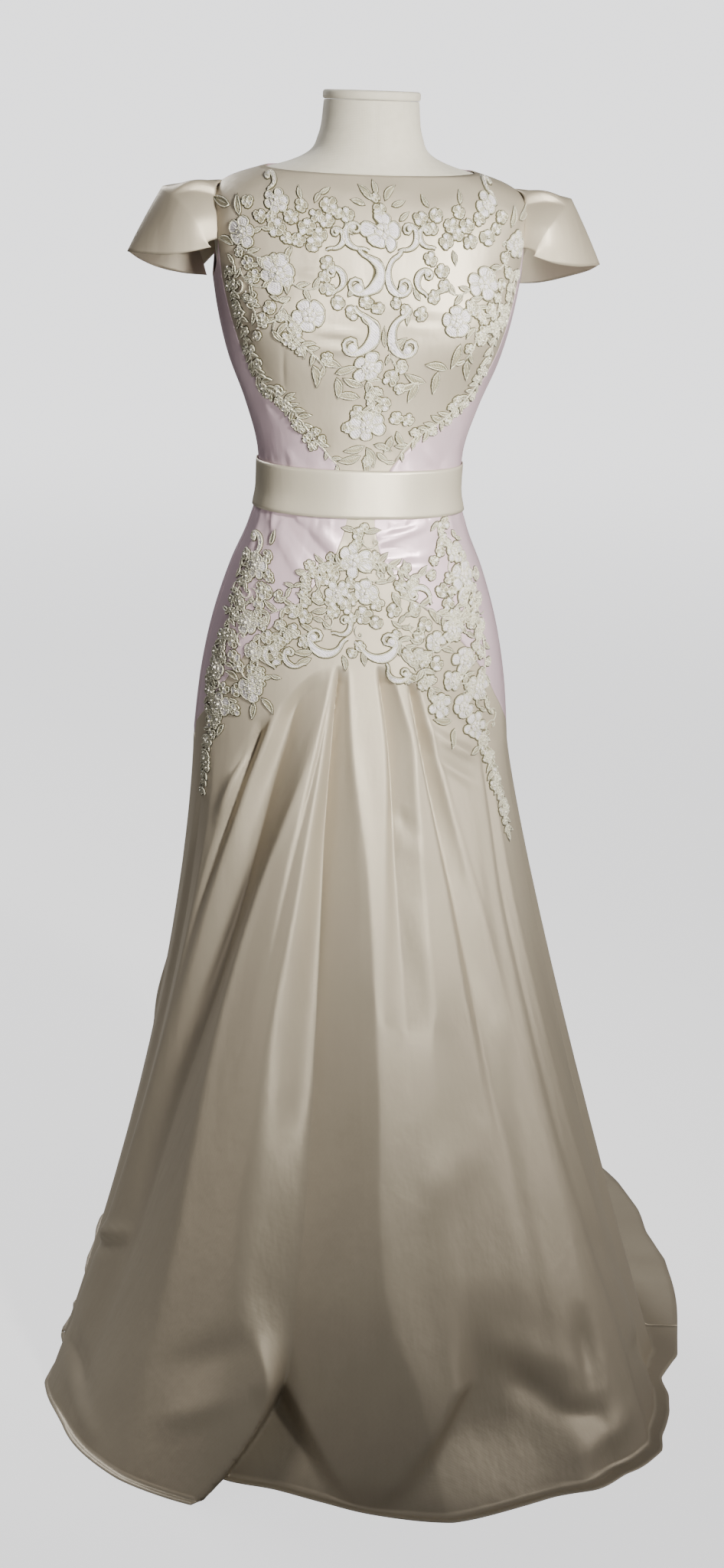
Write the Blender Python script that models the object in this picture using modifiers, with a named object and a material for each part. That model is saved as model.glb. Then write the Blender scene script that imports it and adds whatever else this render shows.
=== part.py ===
"""Satin wedding dress worn by a limbless dress form on a stand. Metres, +Z up, the front faces -Y.

The origin is the middle of the stand's base, on the floor. Every cloth piece is a thin wall.
Bodice and hip pieces are cut from one fitted surface, and the skirt hangs from it to the floor.
"""
import math

import bmesh
import bpy
import numpy as np
from mathutils import Vector, geometry

# Cloth and seams
CLOTH = 0.0016            # wall of the satin with its backing
SEAM_GAP = 0.0006         # between two pieces that are sewn together
SEAM_GAP_DEG = 0.32       # the same gap as an angle at the hips
BACK_SEAM_GAP = 0.0016    # between the hips and the skirt behind, where the skirt flares out
BELT_LIFT = 0.0016        # belt above the pieces under it
BELT_CLOTH = 0.0014
LACE_LIFT = 0.0009
LACE_CLOTH = 0.0012
LACE_GRAIN = 0.020        # spacing of the points that let a lace plate bend with the body
TAIL_LIFT = 0.0008        # lace tails above the skirt's folds

# Heights of the dress
NECK_FRONT = 1.4725
NECK_SIDE = 1.4785
WAIST_SEAM = 1.1100
BELT_TOP = 1.1385
BELT_BOTTOM = 1.0815
SIDE_SEAM_DEG = 84.0      # side seams of hips and skirt, from the front

# Armhole, seen from the side
ARMHOLE_MIDDLE = 1.4060
ARMHOLE_HALF_HEIGHT = 0.0530
ARMHOLE_HALF_DEG = 20.0

# Dress form and stand
FORM_BOTTOM = 0.8200
# The form is slimmer than the figure the dress fits, by this much at each height
FORM_SLIMMER_COLUMNS = ("height", "slimmer")
FORM_SLIMMER = ((0.82, 0.0160), (0.88, 0.0120), (0.95, 0.0050), (1.02, 0.0030),
                (1.38, 0.0030), (1.44, 0.0018), (1.468, 0.0006))
NECK_TOP = 1.5560
CAP_HEIGHT = 0.0110
CAP_RADIUS = 0.0570
FLANGE_RADIUS = 0.0500
FLANGE_HEIGHT = 0.0080
POLE_RADIUS = 0.0150
BASE_RADIUS = 0.1700
BASE_HEIGHT = 0.0120
TOUCH = 0.0003

# The figure the dress fits: one row for each level
FIGURE_COLUMNS = ("height", "half_width", "front", "back", "roundness")
FIGURE = (
    (0.7000, 0.1905, 0.1180, 0.1160, 2.3),
    (0.7600, 0.1900, 0.1200, 0.1190, 2.3),
    (0.8150, 0.1875, 0.1215, 0.1225, 2.3),
    (0.8800, 0.1815, 0.1220, 0.1260, 2.3),
    (0.9450, 0.1695, 0.1175, 0.1210, 2.3),
    (1.0100, 0.1500, 0.1080, 0.1060, 2.3),
    (1.0600, 0.1300, 0.0985, 0.0890, 2.2),
    (1.1100, 0.1190, 0.0930, 0.0800, 2.2),
    (1.1550, 0.1215, 0.0950, 0.0810, 2.2),
    (1.2100, 0.1375, 0.1040, 0.0870, 2.3),
    (1.2600, 0.1570, 0.1140, 0.0950, 2.4),
    (1.3050, 0.1690, 0.1190, 0.1010, 2.5),
    (1.3500, 0.1770, 0.1160, 0.1040, 2.7),
    (1.4000, 0.1830, 0.1060, 0.1010, 3.0),
    (1.4350, 0.1840, 0.0940, 0.0920, 2.8),
    (1.4530, 0.1780, 0.0860, 0.0850, 2.4),
    (1.4660, 0.1580, 0.0780, 0.0770, 2.2),
    (1.4760, 0.1280, 0.0720, 0.0710, 2.1),
    (1.4850, 0.0960, 0.0670, 0.0660, 2.0),
    (1.4960, 0.0730, 0.0630, 0.0620, 2.0),
    (1.5150, 0.0620, 0.0595, 0.0590, 2.0),
    (1.5560, 0.0560, 0.0560, 0.0560, 2.0),
)
BUST_HEIGHT = 1.3020
BUST_ANGLE_DEG = 37.0
BUST_DEPTH = 0.0150
BUST_WIDTH_DEG = 24.0
BUST_TALL = 0.0500

# Room between the figure and the cloth
EASE_COLUMNS = ("height", "ease")
EASE = (
    (0.7000, 0.0060), (0.9000, 0.0030), (1.0400, 0.0015), (1.1100, 0.0010), (1.2000, 0.0015),
    (1.3000, 0.0020), (1.4200, 0.0014), (1.4500, 0.0010), (1.5000, 0.0008),
)

# How far the dress's middle line has turned on the form, at each height
TURN_COLUMNS = ("height", "turn_deg")
TURN = (
    (0.700, 0.0), (0.910, -0.5), (0.970, -2.0), (1.030, -3.5), (1.110, -2.0),
    (1.190, -1.0), (1.250, 0.5), (1.300, 1.5), (1.370, 1.0), (1.480, 0.0),
)

# Side edge of the cream bodice front: angle from the middle line at each height
BODICE_EDGE_COLUMNS = ("height", "angle_deg")
BODICE_EDGE = (
    (1.1100, 7.0), (1.1390, 12.0), (1.1630, 20.5), (1.1880, 31.0), (1.2040, 41.0),
    (1.2250, 53.0), (1.2550, 59.0), (1.3000, 64.0), (1.3530, 69.5),
)

# Top edge of the cream skirt front: height at each angle from the middle line
SKIRT_EDGE_COLUMNS = ("angle_deg", "height")
SKIRT_EDGE = (
    (0.0, 1.1050), (5.0, 1.1050), (6.5, 1.0700), (9.0, 1.0400), (14.0, 1.0120), (22.0, 0.9850),
    (32.0, 0.9600), (42.0, 0.9330), (52.0, 0.9000), (62.0, 0.8640), (73.0, 0.8350), (84.0, 0.8150),
)

# Line that the pleats open from in front, and the skirt's seam behind: height at each angle
PLEAT_LINE_COLUMNS = ("angle_deg", "height")
PLEAT_LINE = (
    (0.0, 0.9120), (10.0, 0.9080), (18.0, 0.8950), (26.0, 0.8680), (36.0, 0.8420),
    (48.0, 0.8200), (62.0, 0.8080), (84.0, 0.8000),
)
SEAM_BACK = 0.7800

# Where the skirt meets the floor and where its hem lies, at each angle from the front (+X positive).
# A flare of 1 falls in a straight line; a higher one hangs closer and spreads lower down.
HEM_COLUMNS = ("angle_deg", "floor_radius", "hem_radius", "flare")
HEM = (
    (-180.0, 0.450, 0.660, 1.35),
    (-160.0, 0.430, 0.560, 1.40),
    (-140.0, 0.385, 0.455, 1.45),
    (-120.0, 0.350, 0.372, 1.55),
    (-100.0, 0.335, 0.342, 1.65),
    (-82.0, 0.355, 0.360, 1.65),
    (-70.0, 0.390, 0.395, 1.60),
    (-58.0, 0.425, 0.431, 1.55),
    (-47.0, 0.455, 0.465, 1.45),
    (-36.0, 0.475, 0.485, 1.35),
    (-29.0, 0.480, 0.491, 1.30),
    (-23.0, 0.486, 0.497, 1.25),
    (-21.0, 0.412, 0.420, 1.20),
    (-13.0, 0.440, 0.449, 1.20),
    (-6.0, 0.470, 0.480, 1.20),
    (0.0, 0.488, 0.500, 1.20),
    (12.0, 0.496, 0.507, 1.20),
    (25.0, 0.494, 0.506, 1.20),
    (38.0, 0.512, 0.533, 1.20),
    (50.0, 0.480, 0.500, 1.15),
    (63.0, 0.440, 0.462, 1.15),
    (78.0, 0.420, 0.457, 1.15),
    (94.0, 0.412, 0.474, 1.15),
    (110.0, 0.415, 0.513, 1.20),
    (125.0, 0.425, 0.580, 1.25),
    (139.0, 0.435, 0.668, 1.30),
    (152.0, 0.445, 0.725, 1.35),
    (166.0, 0.450, 0.720, 1.35),
    (180.0, 0.450, 0.660, 1.35),
)

# Folds of the skirt. Each is a valley: its line's angle at the top, half way and at the hem, how wide it
# is to either side at the hem in degrees, and its depth at the top, half way and at the hem.
FOLD_COLUMNS = ("name", "top", "middle", "hem", "left", "right", "depth_top", "depth_middle", "depth_hem")
FOLDS = (
    ("left_edge", -70.0, -72.0, -75.0, 8.0, 8.0, 0.000, 0.008, 0.014),
    ("first_pleat", -36.0, -45.0, -52.0, 5.0, 5.0, 0.010, 0.004, 0.000),
    ("second_pleat", -22.0, -38.0, -46.0, 9.0, 7.0, 0.010, 0.026, 0.012),
    ("third_pleat_lip", -9.0, -20.0, -22.0, 4.0, 4.0, 0.004, 0.008, 0.004),
    ("middle_pleat", -2.0, -5.5, -8.0, 7.0, 2.6, 0.012, 0.034, 0.026),
    ("fifth_pleat", 8.5, 8.0, 9.0, 1.8, 3.5, 0.012, 0.006, 0.003),
    ("sixth_pleat", 19.0, 23.0, 25.0, 4.0, 6.0, 0.012, 0.016, 0.006),
    ("right_hollow", 40.0, 38.0, 38.0, 6.0, 6.0, 0.000, 0.002, 0.020),
    ("side_line", 48.0, 45.0, 45.0, 4.0, 5.0, 0.000, 0.005, 0.004),
    ("right_edge", 72.0, 68.0, 66.0, 5.0, 6.0, 0.000, 0.010, 0.012),
    ("back_left_outer", -112.0, -110.0, -106.0, 8.0, 8.0, 0.000, 0.018, 0.024),
    ("back_left_inner", -150.0, -148.0, -144.0, 9.0, 9.0, 0.000, 0.020, 0.028),
    ("back_right_inner", 150.0, 152.0, 156.0, 9.0, 9.0, 0.000, 0.020, 0.028),
    ("back_right_outer", 114.0, 115.0, 116.0, 8.0, 8.0, 0.000, 0.018, 0.024),
)
PLEAT_START = 0.05        # share of the way down at which a pleat has opened to its top depth
TRAIN_FOLD_SHARE = 0.35   # how much of a fold's depth stands up from the floor in the train

# Cap sleeve on the +X side, from its front end over the shoulder to its back end. Round is the seam's
# place on the armhole, in degrees from its front. Crown and hem are points on the sleeve.
SLEEVE_COLUMNS = ("round", "crown_x", "crown_y", "crown_z", "hem_x", "hem_y", "hem_z")
SLEEVE = (
    (-10.0, 0.1900, -0.0610, 1.3930, 0.1870, -0.0620, 1.3880),
    (12.0, 0.2060, -0.0580, 1.4180, 0.2130, -0.0600, 1.3805),
    (38.0, 0.2230, -0.0430, 1.4380, 0.2380, -0.0500, 1.3765),
    (66.0, 0.2360, -0.0210, 1.4490, 0.2640, -0.0280, 1.3760),
    (90.0, 0.2400, 0.0000, 1.4510, 0.2790, 0.0000, 1.3760),
    (114.0, 0.2360, 0.0210, 1.4470, 0.2680, 0.0270, 1.3660),
    (142.0, 0.2230, 0.0430, 1.4290, 0.2440, 0.0470, 1.3560),
    (175.0, 0.2060, 0.0570, 1.4000, 0.2150, 0.0590, 1.3490),
    (215.0, 0.1890, 0.0620, 1.3600, 0.1850, 0.0620, 1.3470),
)
SLEEVE_IN_ARMHOLE = 0.915
SLEEVE_TUCK = 0.0060      # height of the pleat along the top

# Lace motifs for one side, mirrored to the other: kind, distance from the middle line round the body and
# height above the floor in millimetres, size in millimetres, and turn in degrees anticlockwise.
LACE_COLUMNS = ("kind", "across", "height", "size", "turn")
BODICE_LACE = (
    ("cluster", 0, 1450, 16, 0), ("leaf", 0, 1431, 34, 90), ("flower", 0, 1408, 28, 0),
    ("leaf", 0, 1386, 34, 90), ("leaf", 30, 1402, 52, 5), ("flower", 60, 1406, 34, 0),
    ("flower", 92, 1416, 40, 20), ("flower", 117, 1433, 40, 0), ("leaf", 125, 1458, 32, 75),
    ("leaf", 126, 1405, 56, 175), ("flower", 157, 1402, 30, 0), ("leaf", 168, 1420, 32, 55),
    ("leaf", 141, 1381, 44, 55), ("flower", 120, 1358, 44, 10), ("leaf", 103, 1339, 40, 45),
    ("flower", 86, 1320, 44, 30), ("leaf", 84, 1357, 56, 178), ("flower", 46, 1358, 38, 0),
    ("leaf", 27, 1364, 30, 160), ("scroll", 13, 1370, 36, 60), ("leaf", 5, 1340, 56, 80),
    ("scroll", 20, 1311, 40, 200), ("leaf", 53, 1316, 48, 175), ("leaf", 0, 1292, 56, 90),
    ("flower", 0, 1262, 34, 0), ("leaf", 0, 1232, 46, 90), ("flower", 0, 1203, 32, 0),
    ("leaf", 0, 1172, 46, 90), ("leaf", 84, 1289, 44, 72), ("leaf", 67, 1262, 50, 40),
    ("leaf", 134, 1332, 48, 108), ("leaf", 143, 1298, 44, 92), ("flower", 146, 1270, 36, 0),
    ("leaf", 131, 1245, 46, 48), ("flower", 112, 1228, 32, 0), ("leaf", 91, 1208, 46, 42),
    ("flower", 70, 1190, 30, 0), ("leaf", 49, 1166, 52, 50),
)
HIP_LACE = (
    ("flower", 0, 1064, 24, 0), ("leaf", 0, 1050, 28, 90), ("flower", 0, 1029, 40, 0),
    ("leaf", 6, 1006, 36, 75), ("flower", 15, 984, 38, 0), ("leaf", 26, 962, 36, 120),
    ("scroll", 40, 940, 32, 0), ("leaf", 22, 926, 44, 15), ("leaf", 57, 930, 34, 160),
    ("leaf", 35, 994, 44, 20), ("flower", 58, 1002, 32, 0), ("leaf", 84, 990, 52, 165),
    ("leaf", 99, 1058, 36, 92), ("flower", 108, 1034, 40, 0), ("leaf", 120, 1014, 36, 120),
    ("flower", 118, 992, 40, 0), ("leaf", 127, 970, 34, 65), ("flower", 132, 950, 36, 0),
    ("leaf", 108, 950, 40, 175), ("flower", 82, 949, 34, 0), ("leaf", 62, 944, 36, 5),
    ("flower", 126, 920, 38, 0), ("leaf", 98, 914, 48, 25), ("leaf", 131, 900, 36, 90),
    ("flower", 134, 880, 36, 0), ("leaf", 125, 859, 30, 75), ("leaf", 150, 867, 38, 145),
    ("flower", 168, 848, 30, 0), ("leaf", 152, 948, 36, 170), ("flower", 176, 940, 34, 0),
    ("leaf", 184, 918, 36, 105), ("flower", 189, 895, 28, 0), ("leaf", 190, 874, 36, 90),
    ("flower", 190, 850, 26, 0),
)
RIGHT_TAIL_LACE = (
    ("cluster", 172, 793, 20, 0), ("leaf", 169, 776, 28, 80), ("cluster", 167, 760, 18, 0),
    ("leaf", 169, 744, 26, 100), ("cluster", 171, 729, 16, 0), ("leaf", 171, 711, 32, 90),
)
LEFT_TAIL_LACE = (
    ("cluster", -190, 793, 22, 0), ("leaf", -190, 776, 28, 90), ("cluster", -190, 758, 20, 0),
    ("leaf", -190, 740, 30, 90),
)

COLOURS = {               # linear base colour, roughness, metallic
    "cream_satin": ((0.640, 0.600, 0.520), 0.34, 0.0),
    "mauve_satin": ((0.640, 0.540, 0.560), 0.30, 0.0),
    "lace": ((0.760, 0.750, 0.700), 0.60, 0.0),
    "form_linen": ((0.760, 0.720, 0.620), 0.80, 0.0),
    "stand_steel": ((0.120, 0.120, 0.130), 0.45, 0.8),
}


def clear_scene():
    for obj in list(bpy.data.objects):
        bpy.data.objects.remove(obj)


def column(table, columns, name):
    place = columns.index(name)
    return np.array([row[place] for row in table], float)


def smooth(x, xs, ys):
    """A curve through the points (xs, ys), with no overshoot between them."""
    x = np.clip(np.asarray(x, float), xs[0], xs[-1])
    step = np.diff(xs)
    slope = np.diff(ys) / step
    tangent = np.concatenate([[slope[0]], (slope[:-1] + slope[1:]) / 2, [slope[-1]]])
    flat = np.concatenate([[False], slope[:-1] * slope[1:] <= 0, [False]])
    tangent = np.where(flat, 0.0, tangent)
    i = np.clip(np.searchsorted(xs, x, side="right") - 1, 0, len(step) - 1)
    t = (x - xs[i]) / step[i]
    return (
        ys[i] * (1 + 2 * t) * (1 - t) ** 2
        + tangent[i] * step[i] * t * (1 - t) ** 2
        + ys[i + 1] * t * t * (3 - 2 * t)
        + tangent[i + 1] * step[i] * t * t * (t - 1)
    )


def from_table(x, table, columns, name):
    return smooth(x, column(table, columns, columns[0]), column(table, columns, name))


def straight(x, table, columns):
    return np.interp(x, column(table, columns, columns[0]), column(table, columns, columns[1]))


def figure(z, name):
    return from_table(z, FIGURE, FIGURE_COLUMNS, name)


def turn(z, angle):
    """The dress's turn at this height, which dies out towards the side seams."""
    middle = from_table(z, TURN, TURN_COLUMNS, "turn_deg")
    return middle * np.clip(1 - np.abs(angle) / SIDE_SEAM_DEG, 0, 1) ** 0.7


def section(angle, z):
    """The figure's surface. The angle is in degrees from the front's middle, +X positive."""
    angle, z = np.broadcast_arrays(np.asarray(angle, float), np.asarray(z, float))
    side, ahead = np.sin(np.radians(angle)), np.cos(np.radians(angle))
    power = 2 / figure(z, "roundness")
    depth = np.where(ahead > 0, figure(z, "front"), figure(z, "back"))
    x = figure(z, "half_width") * np.sign(side) * np.abs(side) ** power
    y = -depth * np.sign(ahead) * np.abs(ahead) ** power
    off_side = (np.abs(angle) - BUST_ANGLE_DEG) / BUST_WIDTH_DEG
    off_height = (z - BUST_HEIGHT) / BUST_TALL
    bust = BUST_DEPTH * np.exp(-(off_side**2) - off_height**2)
    return np.stack([x + 0.35 * bust * np.sign(side), y - bust, z], axis=-1)


def section_normal(angle, z):
    small_angle, small_z = 0.4, 0.0012
    along = section(np.add(angle, small_angle), z) - section(np.subtract(angle, small_angle), z)
    up = section(angle, np.add(z, small_z)) - section(angle, np.subtract(z, small_z))
    normal = np.cross(along, up)
    return normal / np.maximum(np.linalg.norm(normal, axis=-1, keepdims=True), 1e-12)


def fitted(angle, z, out=0.0):
    """A point of the fitted cloth's inner side, or that far outside it."""
    away = from_table(z, EASE, EASE_COLUMNS, "ease") + out
    return section(angle, z) + section_normal(angle, z) * np.asarray(away)[..., None]


def dress(angle, z, out=0.0):
    """The same, with the angle taken from the dress's own middle line."""
    return fitted(angle + turn(z, angle), z, out)


def pleat_line(angle):
    front = from_table(np.abs(angle), PLEAT_LINE, PLEAT_LINE_COLUMNS, "height")
    behind = np.clip((np.abs(angle) - SIDE_SEAM_DEG) / (180.0 - SIDE_SEAM_DEG), 0, 1)
    return front + (SEAM_BACK - PLEAT_LINE[-1][1]) * behind


def hem_value(angle, name):
    return from_table(angle, HEM, HEM_COLUMNS, name)


def fold_depth(angle, t):
    """How far the folds draw the skirt in, at share t of the way from the pleat line to the hem."""
    thirds = np.array([0.0, 0.5, 1.0])
    total = np.zeros(np.broadcast(angle, t).shape)
    for row in FOLDS:
        fold = dict(zip(FOLD_COLUMNS, row))
        line = smooth(t, thirds, np.array([fold["top"], fold["middle"], fold["hem"]]))
        depth = smooth(t, thirds, np.array([fold["depth_top"], fold["depth_middle"], fold["depth_hem"]]))
        off = (np.asarray(angle) - line + 180.0) % 360.0 - 180.0
        width = np.where(off < 0, fold["left"], fold["right"]) * (0.45 + 0.55 * np.sqrt(t))
        off = np.abs(off) / width
        total = total + depth * (np.exp(-(off**2)) - 0.40 * np.exp(-((off - 2.0) ** 2)))
    return total * np.clip(np.asarray(t) / PLEAT_START, 0, 1)


def skirt(angle, t):
    """The skirt's inner side: angle in degrees from the front, t from 0 at the pleat line to 1 at the hem."""
    angle, t = np.broadcast_arrays(np.asarray(angle, float), np.clip(t, 0, 1))
    top_z = pleat_line(angle)
    top = dress(angle, top_z)
    landing, hem = hem_value(angle, "floor_radius"), hem_value(angle, "hem_radius")
    fall = np.hypot(top_z, landing - 0.15)
    floor_t = fall / (fall + hem - landing)
    drop = np.clip(t / floor_t, 0, 1)
    lying = np.clip((t - floor_t) / np.maximum(1 - floor_t, 1e-6), 0, 1)
    away = np.stack([np.sin(np.radians(angle)), -np.cos(np.radians(angle))], axis=-1)
    start = top[..., :2]
    flat = start + (away * landing[..., None] - start) * (drop ** hem_value(angle, "flare"))[..., None]
    flat = flat + away * ((hem - landing) * lying)[..., None]
    inward = fold_depth(angle, t)
    flat = flat - away * inward[..., None]
    train = np.clip((hem - landing - 0.03) / 0.08, 0, 1)
    stand = TRAIN_FOLD_SHARE * np.abs(inward) * train * np.clip((1 - t) / 0.10, 0, 1) * drop**4
    z = top_z * (1 - drop) + stand
    return np.concatenate([flat, z[..., None]], axis=-1)


def material(name):
    if name in bpy.data.materials:
        return bpy.data.materials[name]
    colour, roughness, metallic = COLOURS[name]
    made = bpy.data.materials.new(name)
    made.use_nodes = True
    shader = made.node_tree.nodes["Principled BSDF"]
    shader.inputs["Base Color"].default_value = (*colour, 1.0)
    shader.inputs["Roughness"].default_value = roughness
    shader.inputs["Metallic"].default_value = metallic
    return made


def add_object(name, mesh, material_name):
    mesh.materials.append(material(material_name))
    mesh.shade_smooth()
    mesh.set_sharp_from_angle(angle=math.radians(40))
    obj = bpy.data.objects.new(name, mesh)
    PIECES.objects.link(obj)
    return obj


def sheet(name, grid, thickness, material_name, inside):
    """An open sheet through a grid of points, thickened on the side away from the point inside."""
    rows, columns = grid.shape[:2]
    faces = [
        (r * columns + c, r * columns + c + 1, (r + 1) * columns + c + 1, (r + 1) * columns + c)
        for r in range(rows - 1)
        for c in range(columns - 1)
    ]
    mesh = bpy.data.meshes.new(name)
    mesh.from_pydata([Vector(p) for p in grid.reshape(-1, 3)], [], faces)
    middle = mesh.polygons[len(faces) // 2]
    if (middle.center - Vector(inside)).dot(middle.normal) < 0:
        mesh.flip_normals()
    mesh.update()
    obj = add_object(name, mesh, material_name)
    wall = obj.modifiers.new("Wall", "SOLIDIFY")
    wall.thickness = thickness
    wall.offset = 1.0
    return obj


def gap_deg(z):
    """Half a seam gap, as an angle at this height."""
    return math.degrees(SEAM_GAP / 2 / float(figure(z, "half_width")))


def armhole_reach(z):
    """Half the armhole's opening, in degrees, at this height."""
    off = np.clip((np.asarray(z, float) - ARMHOLE_MIDDLE) / ARMHOLE_HALF_HEIGHT, -1, 1)
    return ARMHOLE_HALF_DEG * np.sqrt(1 - off**2)


def bodice_edge(z):
    """Angle from the middle line to the edge of the cream front."""
    below = float(from_table(z, BODICE_EDGE, BODICE_EDGE_COLUMNS, "angle_deg"))
    beside = 90.0 - float(armhole_reach(z))
    return beside if z > ARMHOLE_MIDDLE else min(below, beside)


BODICE_LEVELS = (1.1103, 1.1250, 1.1390, 1.1630, 1.1880, 1.2040, 1.2250, 1.2550, 1.2850, 1.3150, 1.3400,
                 1.3600, 1.3800, 1.4040, 1.4210, 1.4370, 1.4500, 1.4590, 1.4660, 1.4725, 1.4785)
SIDE_LEVELS = 14          # levels that the side piece shares with the front
HIP_SHARES = (0.0, 0.25, 0.48, 0.68, 0.84, 0.94, 1.0)


def bodice_front():
    share = np.linspace(-1, 1, 19)
    grid = np.zeros((len(BODICE_LEVELS), len(share), 3))
    for r, level in enumerate(BODICE_LEVELS):
        raised = max(0.0, (level - 1.4040) / (NECK_SIDE - 1.4040))
        for c, s in enumerate(share):
            z = level - raised * (NECK_SIDE - NECK_FRONT) * (1 - s * s)
            edge = bodice_edge(level) - gap_deg(level)
            grid[r, c] = dress(s * edge, z)
    return sheet("bodice_front", grid, CLOTH, "cream_satin", (0, 0, 1.3))


def bodice_side(name, side):
    """The mauve piece between the cream front and the side seam, under the armhole."""
    levels = BODICE_LEVELS[:SIDE_LEVELS]
    shares = np.linspace(0, 1, 6)
    grid = np.zeros((len(levels), len(shares), 3))
    for c, s in enumerate(shares):
        reach = ARMHOLE_HALF_DEG * (1 - s)
        top = ARMHOLE_MIDDLE - ARMHOLE_HALF_HEIGHT * math.sqrt(1 - (reach / ARMHOLE_HALF_DEG) ** 2)
        for r, level in enumerate(levels):
            share = (level - levels[0]) / (levels[-1] - levels[0])
            z = levels[0] + share * (min(top, levels[-1]) - levels[0])
            edge = bodice_edge(z) + gap_deg(z)
            place = edge + (90.0 - gap_deg(z) - edge) * s
            grid[r, c] = dress(side * place, z)
    return sheet(name, grid, CLOTH, "mauve_satin", (0, 0, 1.2))


def bodice_back(name, side):
    shares = np.linspace(0, 1, 7)
    grid = np.zeros((len(BODICE_LEVELS), len(shares), 3))
    for r, z in enumerate(BODICE_LEVELS):
        outer = 90.0 + float(armhole_reach(z)) + gap_deg(z)
        middle = 180.0 - gap_deg(z)
        for c, s in enumerate(shares):
            grid[r, c] = fitted(side * (outer + (middle - outer) * s), z)
    return sheet(name, grid, CLOTH, "mauve_satin", (0, 0, 1.3))


FRONT_ANGLES = (0.0, 2.5, 5.0, 6.5, 9.0, 14.0, 18.0, 22.0, 27.0, 32.0, 37.0, 42.0, 49.0,
                56.0, 63.0, 73.0, 84.0)


def hip_front(name, side):
    """The mauve piece between the waist seam and the cream skirt front's top edge."""
    angles = np.array((5.3,) + FRONT_ANGLES[3:]) + SEAM_GAP_DEG
    angles[-1] = SIDE_SEAM_DEG - SEAM_GAP_DEG / 2
    grid = np.zeros((len(HIP_SHARES), len(angles), 3))
    for c, a in enumerate(angles):
        low = float(straight(a - SEAM_GAP_DEG, SKIRT_EDGE, SKIRT_EDGE_COLUMNS)) + SEAM_GAP / 2
        for r, up in enumerate(HIP_SHARES):
            grid[r, c] = dress(side * a, low + (WAIST_SEAM - SEAM_GAP / 2 - low) * up)
    return sheet(name, grid, CLOTH, "mauve_satin", (0, 0, 1.0))


def hip_back(name, side):
    shares = np.linspace(0, 1, 9)
    grid = np.zeros((len(HIP_SHARES), len(shares), 3))
    for c, s in enumerate(shares):
        for r, up in enumerate(HIP_SHARES):
            angle = SIDE_SEAM_DEG + (180.0 - SIDE_SEAM_DEG) * s
            low = float(pleat_line(angle)) + SEAM_GAP / 2
            z = low + (WAIST_SEAM - SEAM_GAP / 2 - low) * up
            angle = angle + SEAM_GAP_DEG / 2 * (1 - s) - gap_deg(z) * s
            grid[r, c] = dress(side * angle, z)
    return sheet(name, grid, CLOTH, "mauve_satin", (0, 0, 1.0))


def belt():
    """The flat sash round the waist seam, cut at the centre back where the dress opens."""
    grid = np.zeros((3, 45, 3))
    for r, z in enumerate(np.linspace(BELT_BOTTOM, BELT_TOP, 3)):
        for c, a in enumerate(np.linspace(-180.0 + gap_deg(z), 180.0 - gap_deg(z), 45)):
            grid[r, c] = fitted(a, z, CLOTH + BELT_LIFT)
    return sheet("belt", grid, BELT_CLOTH, "cream_satin", (0, 0, 1.1))


SKIRT_SHARES = (0.0, 0.05, 0.12, 0.22, 0.34, 0.47, 0.60, 0.73, 0.84, 0.93, 1.0)


def skirt_front():
    """One piece from the belt to the floor: plain over the hips, then opening in its pleats."""
    outer = np.array(FRONT_ANGLES)
    outer = np.sort(np.concatenate([-outer[1:], outer, (-4.0, -7.5, -16.0, -21.0, -23.0, 8.0, 16.0, 24.0)]))
    outer = np.clip(outer, -SIDE_SEAM_DEG + SEAM_GAP_DEG / 2, SIDE_SEAM_DEG - SEAM_GAP_DEG / 2)
    grid = []
    for up in np.linspace(1, 0, 5)[:-1]:
        low = pleat_line(outer)
        high = straight(np.abs(outer), SKIRT_EDGE, SKIRT_EDGE_COLUMNS) - SEAM_GAP / 2
        grid.append(dress(outer, low + (high - low) * up))
    for t in SKIRT_SHARES:
        grid.append(skirt(outer, t))
    return sheet("skirt_front", np.stack(grid), CLOTH, "cream_satin", (0, 0.05, 0.5))


def skirt_back(name, side):
    angles = side * np.linspace(SIDE_SEAM_DEG + SEAM_GAP_DEG / 2, 179.95, 16)
    grid = np.stack([skirt(angles, t) for t in SKIRT_SHARES])
    grid[0, :, 2] -= BACK_SEAM_GAP
    return sheet(name, grid, CLOTH, "cream_satin", (0, 0.05, 0.5))


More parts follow.
